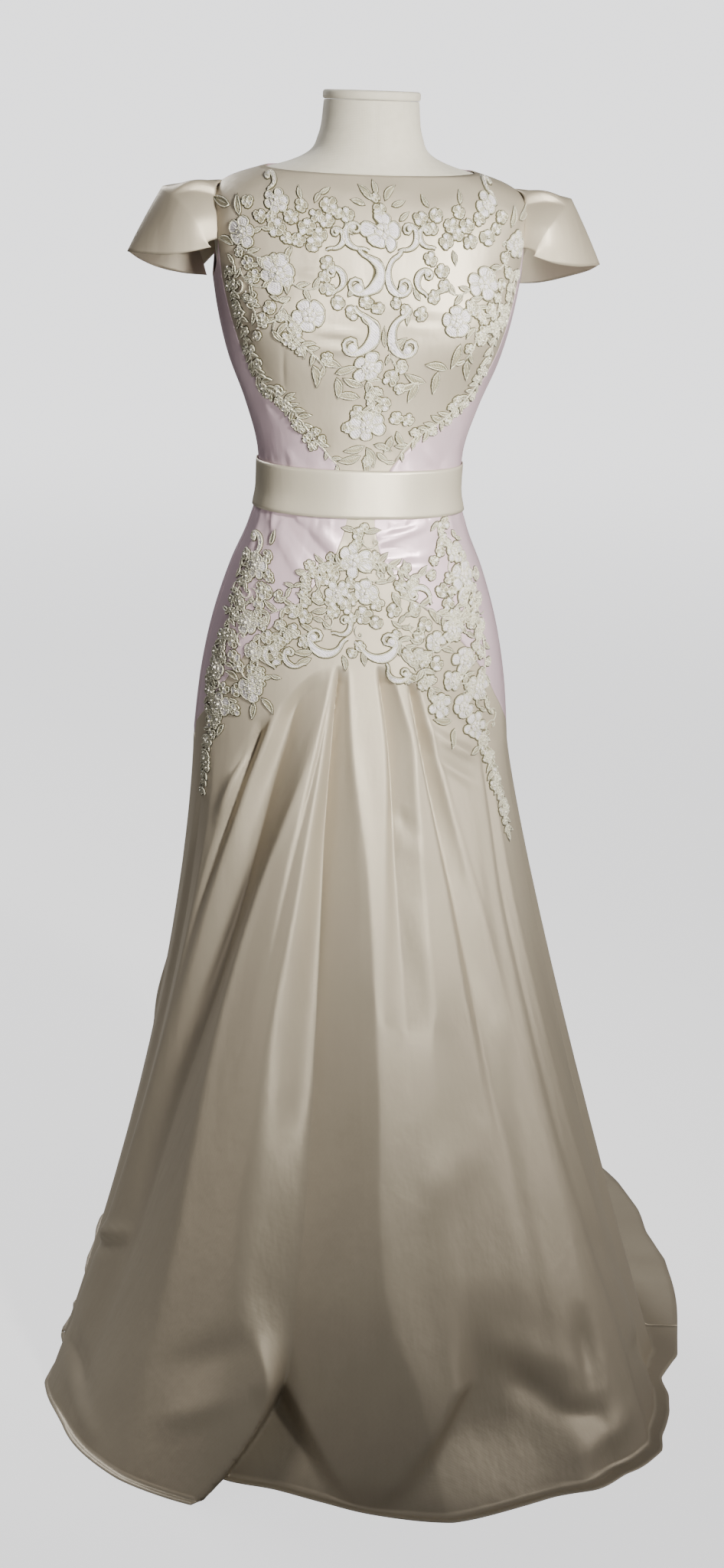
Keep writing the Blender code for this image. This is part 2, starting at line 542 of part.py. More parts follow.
def sleeve(name, side):
    """A stiff cap sleeve: its seam follows the armhole over the shoulder and its hem hangs open."""
    places = np.linspace(0, 1, 15)
    rows = np.linspace(0, 1, len(SLEEVE))
    along = {k: smooth(places, rows, column(SLEEVE, SLEEVE_COLUMNS, k)) for k in SLEEVE_COLUMNS}
    shares = np.linspace(0, 1, 7)
    grid = np.zeros((len(shares), len(places), 3))
    for c in range(len(places)):
        spin = math.radians(along["round"][c])
        z = ARMHOLE_MIDDLE + ARMHOLE_HALF_HEIGHT * SLEEVE_IN_ARMHOLE * math.sin(spin)
        angle = 90.0 - ARMHOLE_HALF_DEG * SLEEVE_IN_ARMHOLE * math.cos(spin)
        seam = fitted(angle, z, 0.0008)
        crown = np.array([along["crown_x"][c], along["crown_y"][c], along["crown_z"][c]])
        hem = np.array([along["hem_x"][c], along["hem_y"][c], along["hem_z"][c]])
        for r, v in enumerate(shares):
            first = seam + (crown - seam) * min(1.0, v / 0.5)
            point = first if v <= 0.5 else crown + (hem - crown) * (v - 0.5) / 0.5
            rounded = seam * (1 - v) ** 2 + (2 * crown - (seam + hem) / 2) * 2 * v * (1 - v) + hem * v * v
            tuck = SLEEVE_TUCK * math.exp(-(((places[c] - 0.44) / 0.05) ** 2))
            tuck *= math.sin(math.pi * min(1.0, v * 1.6))
            grid[r, c] = 0.75 * point + 0.25 * rounded + np.array([0.0, 0.0, max(0.0, tuck)])
    grid[..., 0] *= side
    return sheet(name, grid, CLOTH, "cream_satin", (side * 0.19, 0, 1.36))


def across_to_angle(across, z):
    """The angle at this distance from the middle line, measured round the figure at this height."""
    angles = np.linspace(0.0, 100.0, 51)
    points = section(angles, z)
    lengths = np.concatenate([[0.0], np.cumsum(np.linalg.norm(np.diff(points, axis=0), axis=1))])
    return math.copysign(float(np.interp(abs(across), lengths, angles)), across)


def motif_outline(kind, size):
    """Outline of one lace motif, in millimetres about its own middle."""
    half = size / 2
    if kind == "flower":
        count = 8
        reach = [1.12 * half if i % 2 else 0.90 * half for i in range(count)]
    elif kind == "cluster":
        count = 6
        reach = [half] * count
    elif kind == "leaf":
        points = ((-1.0, 0.0), (-0.3, 0.26), (0.5, 0.20), (1.0, 0.0), (0.5, -0.20), (-0.3, -0.26))
        return [(half * x, half * y) for x, y in points]
    else:
        spins = np.radians(np.linspace(200.0, -80.0, 6))
        outer = [(half * math.cos(a), half * math.sin(a)) for a in spins]
        return outer + [(0.52 * x, 0.52 * y) for x, y in reversed(outer)]
    spins = np.arange(count) * 2 * math.pi / count
    return [(r * math.cos(a), r * math.sin(a)) for r, a in zip(reach, spins)]


def placed_outlines(rows, both_sides):
    """Each motif's outline on the cloth, in metres across and up."""
    outlines = []
    for row in rows:
        motif = dict(zip(LACE_COLUMNS, row))
        spin = math.radians(motif["turn"])
        points = []
        for x, y in motif_outline(motif["kind"], motif["size"]):
            turned_x = x * math.cos(spin) - y * math.sin(spin)
            turned_y = x * math.sin(spin) + y * math.cos(spin)
            points.append(((motif["across"] + turned_x) / 1000, (motif["height"] + turned_y) / 1000))
        outlines.append(points)
        if both_sides and motif["across"] > 0:
            outlines.append([(-x, y) for x, y in points])
    return outlines


def joined_triangles(outlines, spacing):
    """The outlines joined into one flat shape, as points and triangles fine enough to bend."""
    points, faces = [], []
    for outline in outlines:
        area = sum(a[0] * b[1] - b[0] * a[1] for a, b in zip(outline, outline[1:] + outline[:1]))
        ordered = outline if area > 0 else outline[::-1]
        faces.append(list(range(len(points), len(points) + len(ordered))))
        points.extend(ordered)
    flat = np.array(points)
    low, high = flat.min(axis=0), flat.max(axis=0)
    for x in np.arange(low[0], high[0], spacing):
        for y in np.arange(low[1], high[1], spacing):
            points.append((x + spacing * 0.37, y + spacing * 0.41))
    made = geometry.delaunay_2d_cdt([Vector(p) for p in points], [], faces, 0, 1e-5)
    triangles = [tuple(t) for t in made[2]]
    kept = {i for i, owners in enumerate(made[5]) if owners}
    around = {}
    for i, triangle in enumerate(triangles):
        for v in triangle:
            around.setdefault(v, []).append(i)
    for _ in range(6):
        borders = {}
        for i in kept:
            for a, b in zip(triangles[i], triangles[i][1:] + triangles[i][:1]):
                key = (min(a, b), max(a, b))
                borders[key] = borders.get(key, 0) + 1
        ends = {}
        for (a, b), uses in borders.items():
            if uses == 1:
                ends[a] = ends.get(a, 0) + 1
                ends[b] = ends.get(b, 0) + 1
        pinched = [v for v, count in ends.items() if count > 2]
        if not pinched:
            break
        for v in pinched:
            kept.update(around[v])
    return made[0], [triangles[i] for i in sorted(kept)]


def largest_patch(triangles):
    """The triangles of the largest patch that hangs together."""
    owner = list(range(len(triangles)))

    def root(i):
        while owner[i] != i:
            owner[i] = owner[owner[i]]
            i = owner[i]
        return i

    seen = {}
    for i, triangle in enumerate(triangles):
        for a, b in zip(triangle, triangle[1:] + triangle[:1]):
            key = (min(a, b), max(a, b))
            if key in seen:
                owner[root(i)] = root(seen[key])
            seen[key] = i
    patches = {}
    for i, triangle in enumerate(triangles):
        patches.setdefault(root(i), []).append(triangle)
    return max(patches.values(), key=len)


def lace(name, rows, both_sides, spacing, place):
    """One piece of corded lace: the joined motifs as a thin plate that lies just above the cloth."""
    flat, triangles = joined_triangles(placed_outlines(rows, both_sides), spacing)
    triangles = largest_patch(triangles)
    used = sorted({v for triangle in triangles for v in triangle})
    order = {v: i for i, v in enumerate(used)}
    points = [Vector(place(flat[v][0], flat[v][1])) for v in used]
    mesh = bpy.data.meshes.new(name)
    mesh.from_pydata(points, [], [tuple(order[v] for v in triangle) for triangle in triangles])
    middle = mesh.polygons[0]
    if (middle.center - Vector((0, 0, middle.center.z))).dot(middle.normal) < 0:
        mesh.flip_normals()
    mesh.update()
    obj = add_object(name, mesh, "lace")
    wall = obj.modifiers.new("Wall", "SOLIDIFY")
    wall.thickness = LACE_CLOTH
    wall.offset = 1.0
    return obj


def on_dress(across, z):
    """Where the lace lies: its own inner side, above the cream and mauve pieces."""
    angle = across_to_angle(across, z)
    return dress(angle, z, CLOTH + LACE_LIFT)


def on_skirt(across, z):
    """Where a lace tail lies, below the pleat line."""
    top_z = float(pleat_line(across_to_angle(across, 0.80)))
    angle = across_to_angle(across, top_z)
    fall = math.hypot(top_z, float(hem_value(angle, "floor_radius")) - 0.15)
    beyond = float(hem_value(angle, "hem_radius") - hem_value(angle, "floor_radius"))
    t = (1 - z / top_z) * fall / (fall + beyond)
    along = skirt(angle + 0.5, t) - skirt(angle - 0.5, t)
    up = skirt(angle, t - 0.004) - skirt(angle, t + 0.004)
    normal = np.cross(along, up)
    return skirt(angle, t) + normal / np.linalg.norm(normal) * (CLOTH + TAIL_LIFT)


def ring_solid(name, rings, material_name):
    """A closed solid through rings of points, with a flat lid on each end."""
    mesh = bpy.data.meshes.new(name)
    bm = bmesh.new()
    loops = [[bm.verts.new(p) for p in ring] for ring in rings]
    count = len(loops[0])
    for low, high in zip(loops, loops[1:]):
        for i in range(count):
            j = (i + 1) % count
            bm.faces.new((low[i], low[j], high[j], high[i]))
    bm.faces.new(reversed(loops[0]))
    bm.faces.new(loops[-1])
    bmesh.ops.recalc_face_normals(bm, faces=bm.faces)
    bm.to_mesh(mesh)
    bm.free()
    return add_object(name, mesh, material_name)


def form_torso():
    angles = np.arange(24) * 360.0 / 24
    heights = (FORM_BOTTOM, 0.87, 0.95, 1.02, 1.07, 1.11, 1.15, 1.21, 1.27, 1.32, 1.365)
    heights = heights + BODICE_LEVELS[13:] + (1.485, 1.496, 1.515, NECK_TOP)
    rings = []
    for z in heights:
        slim = float(from_table(z, FORM_SLIMMER, FORM_SLIMMER_COLUMNS, "slimmer"))
        rings.append(section(angles, z) - section_normal(angles, z) * slim * np.array((1, 1, 0)))
    return ring_solid("form_torso", rings, "form_linen")


def turned(name, radius, low, high, material_name, bevel, sides=28):
    """A round disc or post, standing on the middle axis."""
    mesh = bpy.data.meshes.new(name)
    bm = bmesh.new()
    bmesh.ops.create_cone(bm, cap_ends=True, segments=sides, radius1=radius, radius2=radius, depth=high - low)
    bm.to_mesh(mesh)
    bm.free()
    obj = add_object(name, mesh, material_name)
    obj.location = (0, 0, (low + high) / 2)
    if bevel:
        rounding = obj.modifiers.new("Edge", "BEVEL")
        rounding.width = bevel
        rounding.segments = 1
        rounding.limit_method = "ANGLE"
    return obj


clear_scene()
PIECES = bpy.data.collections.new("wedding_dress")
bpy.context.scene.collection.children.link(PIECES)

form_torso()
turned("form_neck_cap", CAP_RADIUS, NECK_TOP + TOUCH, NECK_TOP + TOUCH + CAP_HEIGHT, "form_linen", 0.0015)
turned("form_flange", FLANGE_RADIUS, FORM_BOTTOM - TOUCH - FLANGE_HEIGHT, FORM_BOTTOM - TOUCH,
       "stand_steel", 0.0, 20)
turned("stand_pole", POLE_RADIUS, BASE_HEIGHT + TOUCH, FORM_BOTTOM - FLANGE_HEIGHT - 2 * TOUCH,
       "stand_steel", 0.0, 16)
turned("stand_base", BASE_RADIUS, 0.0, BASE_HEIGHT, "stand_steel", 0.003, 32)

bodice_front()
for name_end, side_sign in (("left", -1), ("right", 1)):
    bodice_side("bodice_side_" + name_end, side_sign)
    bodice_back("bodice_back_" + name_end, side_sign)
    hip_front("hip_front_" + name_end, side_sign)
    hip_back("hip_back_" + name_end, side_sign)
    skirt_back("skirt_back_" + name_end, side_sign)
    sleeve("sleeve_" + name_end, side_sign)
belt()
skirt_front()
lace("lace_bodice", BODICE_LACE, True, LACE_GRAIN, on_dress)
lace("lace_hips", HIP_LACE, True, LACE_GRAIN, on_dress)
lace("lace_tail_right", RIGHT_TAIL_LACE, False, LACE_GRAIN, on_skirt)
lace("lace_tail_left", LEFT_TAIL_LACE, False, LACE_GRAIN, on_skirt)
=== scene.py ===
# %% [markdown]
# # A satin wedding dress on a dress form
# The dress is a plain fitted bodice with cap sleeves, a flat belt, and a long pleated skirt with a
# train. Corded lace is sewn on the bodice and the hips. We make each sewn piece as a thin shell on
# the shape that the CAD frame gives, add its creases, and finish each cloth with its own weave.

# %% Load the frame
import math
import random

import bmesh
import bpy
import numpy as np
from mathutils import Matrix, Vector


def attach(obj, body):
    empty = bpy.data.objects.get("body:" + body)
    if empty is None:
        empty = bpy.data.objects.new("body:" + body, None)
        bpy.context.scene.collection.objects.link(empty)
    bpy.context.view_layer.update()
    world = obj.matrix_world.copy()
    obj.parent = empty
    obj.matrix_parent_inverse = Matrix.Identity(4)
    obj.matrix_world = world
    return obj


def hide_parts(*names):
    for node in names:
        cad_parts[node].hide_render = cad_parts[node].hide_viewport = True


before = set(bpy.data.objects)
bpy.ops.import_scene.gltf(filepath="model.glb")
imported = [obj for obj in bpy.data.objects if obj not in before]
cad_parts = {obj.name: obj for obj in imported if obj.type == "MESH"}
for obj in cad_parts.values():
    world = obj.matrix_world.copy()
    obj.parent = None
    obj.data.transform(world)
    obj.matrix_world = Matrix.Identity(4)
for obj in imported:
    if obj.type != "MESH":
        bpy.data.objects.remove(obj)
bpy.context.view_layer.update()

# %% [markdown]
# ## The cut of the dress
# A dressmaker works from a table of body measurements. So do we: each row of FIGURE is one level of
# the dress form, with its half width, its depth in front and behind, and how square its section is.
# The same tables shaped the CAD solids, so every shell that follows lies where its solid lies.

# %% Measurements of the figure, in metres
CLOTH = 0.0016
CLOTH_SHELL = 0.0012      # the shells that show are a little thinner than the solids
SEAM_GAP = 0.0002
NECK_FRONT, NECK_SIDE = 1.4725, 1.4785
WAIST_SEAM = 1.1100
BELT_TOP, BELT_BOTTOM = 1.1385, 1.0815
BELT_OUT = 0.0032
SIDE_SEAM_DEG = 84.0
ARMHOLE_MIDDLE, ARMHOLE_HALF_HEIGHT, ARMHOLE_HALF_DEG = 1.4060, 0.0530, 20.0
FORM_BOTTOM, NECK_TOP = 0.8200, 1.5560

FIGURE_COLUMNS = ("height", "half_width", "front", "back", "roundness")
FIGURE = (
    (0.7000, 0.1905, 0.1180, 0.1160, 2.3), (0.7600, 0.1900, 0.1200, 0.1190, 2.3),
    (0.8150, 0.1875, 0.1215, 0.1225, 2.3), (0.8800, 0.1815, 0.1220, 0.1260, 2.3),
    (0.9450, 0.1695, 0.1175, 0.1210, 2.3), (1.0100, 0.1500, 0.1080, 0.1060, 2.3),
    (1.0600, 0.1300, 0.0985, 0.0890, 2.2), (1.1100, 0.1190, 0.0930, 0.0800, 2.2),
    (1.1550, 0.1215, 0.0950, 0.0810, 2.2), (1.2100, 0.1375, 0.1040, 0.0870, 2.3),
    (1.2600, 0.1570, 0.1140, 0.0950, 2.4), (1.3050, 0.1690, 0.1190, 0.1010, 2.5),
    (1.3500, 0.1770, 0.1160, 0.1040, 2.7), (1.4000, 0.1830, 0.1060, 0.1010, 3.0),
    (1.4350, 0.1840, 0.0940, 0.0920, 2.8), (1.4530, 0.1780, 0.0860, 0.0850, 2.4),
    (1.4660, 0.1580, 0.0780, 0.0770, 2.2), (1.4760, 0.1280, 0.0720, 0.0710, 2.1),
    (1.4850, 0.0960, 0.0670, 0.0660, 2.0), (1.4960, 0.0730, 0.0630, 0.0620, 2.0),
    (1.5150, 0.0620, 0.0595, 0.0590, 2.0), (1.5560, 0.0560, 0.0560, 0.0560, 2.0),
)
BUST_HEIGHT, BUST_ANGLE_DEG, BUST_DEPTH, BUST_WIDTH_DEG, BUST_TALL = 1.3020, 37.0, 0.0150, 24.0, 0.0500
EASE = ((0.7000, 0.0060), (0.9000, 0.0030), (1.0400, 0.0015), (1.1100, 0.0010), (1.2000, 0.0015),
        (1.3000, 0.0020), (1.4200, 0.0014), (1.4500, 0.0010), (1.5000, 0.0008))
FORM_SLIMMER = ((0.82, 0.0160), (0.88, 0.0120), (0.95, 0.0050), (1.02, 0.0030),
                (1.38, 0.0030), (1.44, 0.0018), (1.468, 0.0006))
# How far the dress's middle line has turned on the form: height, degrees
TURN = ((0.700, 0.0), (0.910, -0.5), (0.970, -2.0), (1.030, -3.5), (1.110, -2.0),
        (1.190, -1.0), (1.250, 0.5), (1.300, 1.5), (1.370, 1.0), (1.480, 0.0))
# Side edge of the cream bodice front: height, degrees from the middle line
BODICE_EDGE = ((1.1100, 7.0), (1.1390, 12.0), (1.1630, 20.5), (1.1880, 31.0), (1.2040, 41.0),
               (1.2250, 53.0), (1.2550, 59.0), (1.3000, 64.0), (1.3530, 69.5))
# Top edge of the cream skirt front: degrees from the middle line, height
SKIRT_EDGE = ((0.0, 1.1050), (5.0, 1.1050), (6.5, 1.0700), (9.0, 1.0400), (14.0, 1.0120), (22.0, 0.9850),
              (32.0, 0.9600), (42.0, 0.9330), (52.0, 0.9000), (62.0, 0.8640), (73.0, 0.8350), (84.0, 0.8150))
# Line that the pleats open from: degrees from the middle line, height
PLEAT_LINE = ((0.0, 0.9120), (10.0, 0.9080), (18.0, 0.8950), (26.0, 0.8680), (36.0, 0.8420),
              (48.0, 0.8200), (62.0, 0.8080), (84.0, 0.8000))
SEAM_BACK = 0.7800
print("figure measured at", len(FIGURE), "levels")


# %% Curves through the tables
def smooth(x, xs, ys):
    """A curve through the points (xs, ys), with no overshoot between them."""
    xs, ys = np.asarray(xs, float), np.asarray(ys, float)
    x = np.clip(np.asarray(x, float), xs[0], xs[-1])
    step = np.diff(xs)
    slope = np.diff(ys) / step
    tangent = np.concatenate([[slope[0]], (slope[:-1] + slope[1:]) / 2, [slope[-1]]])
    level = np.concatenate([[False], slope[:-1] * slope[1:] <= 0, [False]])
    tangent = np.where(level, 0.0, tangent)
    i = np.clip(np.searchsorted(xs, x, side="right") - 1, 0, len(step) - 1)
    t = (x - xs[i]) / step[i]
    return (
        ys[i] * (1 + 2 * t) * (1 - t) ** 2 + tangent[i] * step[i] * t * (1 - t) ** 2
        + ys[i + 1] * t * t * (3 - 2 * t) + tangent[i + 1] * step[i] * t * t * (t - 1)
    )


def column(table, place):
    return np.array([row[place] for row in table], float)


def looked_up(x, table, place=1):
    return smooth(x, column(table, 0), column(table, place))


def figure(z, name):
    return looked_up(z, FIGURE, FIGURE_COLUMNS.index(name))


def ramp(x, low, high):
    """0 below low, 1 above high, and an even S between them."""
    x = np.clip((np.asarray(x, float) - low) / (high - low), 0, 1)
    return x * x * (3 - 2 * x)


print("waist half width, mm:", round(float(figure(WAIST_SEAM, "half_width")) * 1000, 1))


# %% [markdown]
# ## From measurements to a surface
# `section` gives a point of the figure for an angle (0 is the front's middle) and a height. The cloth
# stands off the figure by its ease, along the surface's normal. `turn` follows a small real fault:
# the dress sits a little twisted on its form, so its middle line wanders.

# %% The fitted surface
def section(angle, z):
    angle, z = np.broadcast_arrays(np.asarray(angle, float), np.asarray(z, float))
    side, ahead = np.sin(np.radians(angle)), np.cos(np.radians(angle))
    power = 2 / figure(z, "roundness")
    depth = np.where(ahead > 0, figure(z, "front"), figure(z, "back"))
    x = figure(z, "half_width") * np.sign(side) * np.abs(side) ** power
    y = -depth * np.sign(ahead) * np.abs(ahead) ** power
    off_side = (np.abs(angle) - BUST_ANGLE_DEG) / BUST_WIDTH_DEG
    bust = BUST_DEPTH * np.exp(-(off_side**2) - ((z - BUST_HEIGHT) / BUST_TALL) ** 2)
    return np.stack([x + 0.35 * bust * np.sign(side), y - bust, z], axis=-1)


def unit(vectors):
    return vectors / np.maximum(np.linalg.norm(vectors, axis=-1, keepdims=True), 1e-12)


def section_normal(angle, z):
    angle, z = np.asarray(angle, float), np.asarray(z, float)
    along = section(angle + 0.4, z) - section(angle - 0.4, z)
    up = section(angle, z + 0.0012) - section(angle, z - 0.0012)
    return unit(np.cross(along, up))


def fitted(angle, z, out=0.0):
    away = looked_up(z, EASE) + out
    return section(angle, z) + section_normal(angle, z) * np.asarray(away)[..., None]


def turned_angle(angle, z):
    return angle + looked_up(z, TURN) * np.clip(1 - np.abs(angle) / SIDE_SEAM_DEG, 0, 1) ** 0.7


LEVELS = np.linspace(0.70, 1.50, 161)
ANGLES = np.linspace(0.0, 180.0, 181)
GIRTH = np.array([
    np.concatenate([[0.0], np.cumsum(np.linalg.norm(np.diff(section(ANGLES, z), axis=0), axis=1))])
    for z in LEVELS
])


def between(table, row, place):
    """The table's value between its rows and columns."""
    row = np.clip(row, 0, table.shape[0] - 1.001)
    place = np.clip(place, 0, table.shape[1] - 1.001)
    r, c = row.astype(int), place.astype(int)
    a, b = row - r, place - c
    return (
        table[r, c] * (1 - a) * (1 - b) + table[r + 1, c] * a * (1 - b)
        + table[r, c + 1] * (1 - a) * b + table[r + 1, c + 1] * a * b
    )


def level_row(z):
    return (np.asarray(z, float) - LEVELS[0]) / (LEVELS[1] - LEVELS[0])


def across_of(angle, z):
    """How far round the body a point lies from the middle line, in metres."""
    return np.sign(angle) * between(GIRTH, level_row(z), np.abs(angle))


REACH_STEP = 0.002
REACH = np.array([np.interp(np.arange(0, 0.5, REACH_STEP), row, ANGLES) for row in GIRTH])


def angle_of(across, z):
    across = np.asarray(across, float)
    return np.sign(across) * between(REACH, level_row(z), np.abs(across) / REACH_STEP)


print("waist, bust and hip girths, mm:",
      [round(2000 * float(across_of(np.array(180.0), z))) for z in (1.11, 1.302, 0.88)])

# %% [markdown]
# ## Creases placed one by one
# Cloth on a form is never quite smooth. Each crease here is a soft ridge or trough along a short
# line: where it starts and ends (across from the middle line and height, in millimetres), how wide
# it is, and how far it rises. A simulation would give creases too, but not in the right places.

# %% Creases of the bodice and the hips
CREASE_COLUMNS = ("side", "across_1", "height_1", "across_2", "height_2", "width", "rise")
BODY_CREASES = (
    ("front", -92, 1078, -30, 1024, 9, -5.0), ("front", -112, 1070, -58, 1004, 8, 3.0),
    ("front", -58, 1074, -20, 1040, 9, 3.0), ("front", -50, 1040, -24, 1026, 7, -2.0),
    ("front", 20, 1042, 62, 1040, 8, -5.0), ("front", 22, 1056, 98, 1082, 6, 3.5),
    ("front", 26, 1068, 86, 1076, 5, -2.0), ("front", 80, 1044, 134, 1064, 9, -3.0),
    ("front", 36, 1028, 92, 1024, 9, 3.0), ("front", 110, 1078, 128, 1050, 7, 2.5),
    ("front", 140, 1010, 150, 960, 9, 2.5), ("front", -134, 1074, -150, 1030, 8, 2.5),
    ("front", -74, 1303, -22, 1299, 4, 1.6), ("front", -70, 1292, -26, 1290, 4, -1.2),
    ("front", -67, 1283, -24, 1279, 4, 1.6), ("front", 14, 1325, 74, 1326, 4, 1.5),
    ("front", 20, 1315, 74, 1316, 4, -1.3), ("front", 20, 1308, 70, 1304, 4, 1.2),
    ("front", -92, 1366, -60, 1362, 5, 1.5), ("front", -105, 1282, -102, 1236, 2, -1.8),
    ("front", 105, 1282, 102, 1236, 2, -1.8), ("front", -160, 1378, -104, 1340, 8, -2.0),
    ("front", 160, 1378, 104, 1340, 8, -2.0), ("front", -130, 1220, -118, 1192, 7, 2.0),
    ("front", 70, 1168, 86, 1142, 5, 2.2), ("front", 112, 1192, 128, 1160, 7, 2.0),
    ("front", 92, 1160, 100, 1141, 4, -1.6), ("front", -96, 1158, -84, 1141, 4, 1.6),
    ("front", -30, 1200, -42, 1160, 8, 1.4), ("front", 26, 1196, 38, 1158, 8, 1.2),
    ("front", -100, 1462, -40, 1440, 10, -1.2), ("front", 40, 1452, 100, 1466, 10, -1.2),
    ("front", 150, 1440, 176, 1424, 7, 1.6), ("front", -178, 1424, -150, 1440, 7, 1.6),
    ("back", 20, 1150, 90, 1176, 7, -2.4), ("back", -24, 1148, -96, 1170, 7, -2.4),
    ("back", 24, 1170, 86, 1200, 6, 1.8), ("back", -20, 1166, -78, 1190, 6, 1.8),
    ("back", 16, 1310, 120, 1330, 9, -1.8), ("back", -16, 1304, -126, 1318, 9, -1.8),
    ("back", 60, 1420, 130, 1380, 10, -2.0), ("back", -60, 1424, -128, 1384, 10, -2.0),
    ("back", 14, 1070, 84, 1050, 7, -2.6), ("back", -14, 1072, -76, 1048, 7, -2.6),
    ("back", 20, 1046, 96, 1020, 8, 2.0), ("back", -16, 1050, -92, 1026, 8, 2.0),
    ("back", 8, 1240, 26, 1190, 6, 1.4), ("back", -8, 1236, -24, 1186, 6, 1.4),
)


def line_distance(x, y, x1, y1, x2, y2):
    """Distance of points from a line's nearest point, and how near its middle that is."""
    long2 = (x2 - x1) ** 2 + (y2 - y1) ** 2
    share = np.clip(((x - x1) * (x2 - x1) + (y - y1) * (y2 - y1)) / long2, 0, 1)
    away = np.hypot(x - x1 - share * (x2 - x1), y - y1 - share * (y2 - y1))
    return away, np.sin(np.pi * np.clip(0.12 + 0.76 * share, 0, 1))


def waist_puckers():
    """Short uneven gathers where the mauve pieces are held in by the waist seam and belt."""
    rng = random.Random(7)
    rows = []
    for first, last, base, way in ((-168, -30, 1138, 1), (34, 168, 1138, 1), (-160, -18, 1082, -1),
                                   (22, 160, 1082, -1)):
        place = first
        while place < last:
            long = rng.uniform(7, 24)
            lean = rng.uniform(-4, 4)
            rise = rng.choice((-1, 1)) * rng.uniform(0.5, 1.2)
            rows.append(("front", place, base, place + lean, base + way * long, rng.uniform(2.4, 4.5), rise))
            place += rng.uniform(8, 19)
    return rows


ALL_CREASES = BODY_CREASES + tuple(waist_puckers())


def crease_rise(angle, z):
    angle, z = np.broadcast_arrays(np.asarray(angle, float), np.asarray(z, float))
    ahead = across_of(angle, z) * 1000
    half = between(GIRTH, level_row(z), np.full(z.shape, 179.9)) * 1000
    behind = -np.sign(angle) * (half - np.abs(ahead))
    rise = np.zeros(z.shape)
    for side, x1, z1, x2, z2, width, height in ALL_CREASES:
        x = ahead if side == "front" else -behind
        away, middle = line_distance(x, z * 1000, x1, z1, x2, z2)
        rise = rise + height * middle * np.exp(-((away / width) ** 2))
    return rise / 1000


def worn(angle, z, out=0.0):
    """The fitted cloth's inner side with its creases, the angle taken from the dress's middle line."""
    low = np.maximum(crease_rise(angle, z), -0.0022)
    return fitted(turned_angle(angle, z), z, out + low)


print("creases on bodice and hips:", len(ALL_CREASES))

# %% [markdown]
# ## The skirt and its pleats
# A pleat is a fold that lies over its neighbour. Seen from the hem it is a saw tooth: a valley, a
# slope that rises away from it, and a sharp crest. Each row gives the valley's and the crest's angle
# and the depth at seven shares of the way down, and how wide the step on the valley's other side is.

# %% Hem and folds
HEM_COLUMNS = ("angle_deg", "floor_radius", "hem_radius", "flare")
HEM = (
    (-180.0, 0.450, 0.660, 1.35), (-160.0, 0.430, 0.560, 1.40), (-140.0, 0.385, 0.455, 1.45),
    (-120.0, 0.350, 0.372, 1.55), (-100.0, 0.335, 0.342, 1.65), (-82.0, 0.355, 0.360, 1.65),
    (-70.0, 0.390, 0.395, 1.60), (-58.0, 0.425, 0.431, 1.55), (-47.0, 0.455, 0.465, 1.45),
    (-36.0, 0.475, 0.485, 1.35), (-29.0, 0.482, 0.493, 1.30), (-22.0, 0.486, 0.497, 1.25),
    (-13.0, 0.476, 0.486, 1.20), (-6.0, 0.482, 0.492, 1.20), (0.0, 0.490, 0.502, 1.20),
    (12.0, 0.496, 0.507, 1.20), (25.0, 0.494, 0.506, 1.20), (38.0, 0.512, 0.533, 1.20),
    (50.0, 0.480, 0.500, 1.15), (63.0, 0.440, 0.462, 1.15), (78.0, 0.420, 0.457, 1.15),
    (94.0, 0.412, 0.474, 1.15), (110.0, 0.415, 0.513, 1.20), (125.0, 0.425, 0.580, 1.25),
    (139.0, 0.435, 0.668, 1.30), (152.0, 0.445, 0.725, 1.35), (166.0, 0.450, 0.720, 1.35),
    (180.0, 0.450, 0.660, 1.35),
)
FOLD_SHARES = (0.0, 0.1, 0.25, 0.5, 0.75, 0.86, 1.0)
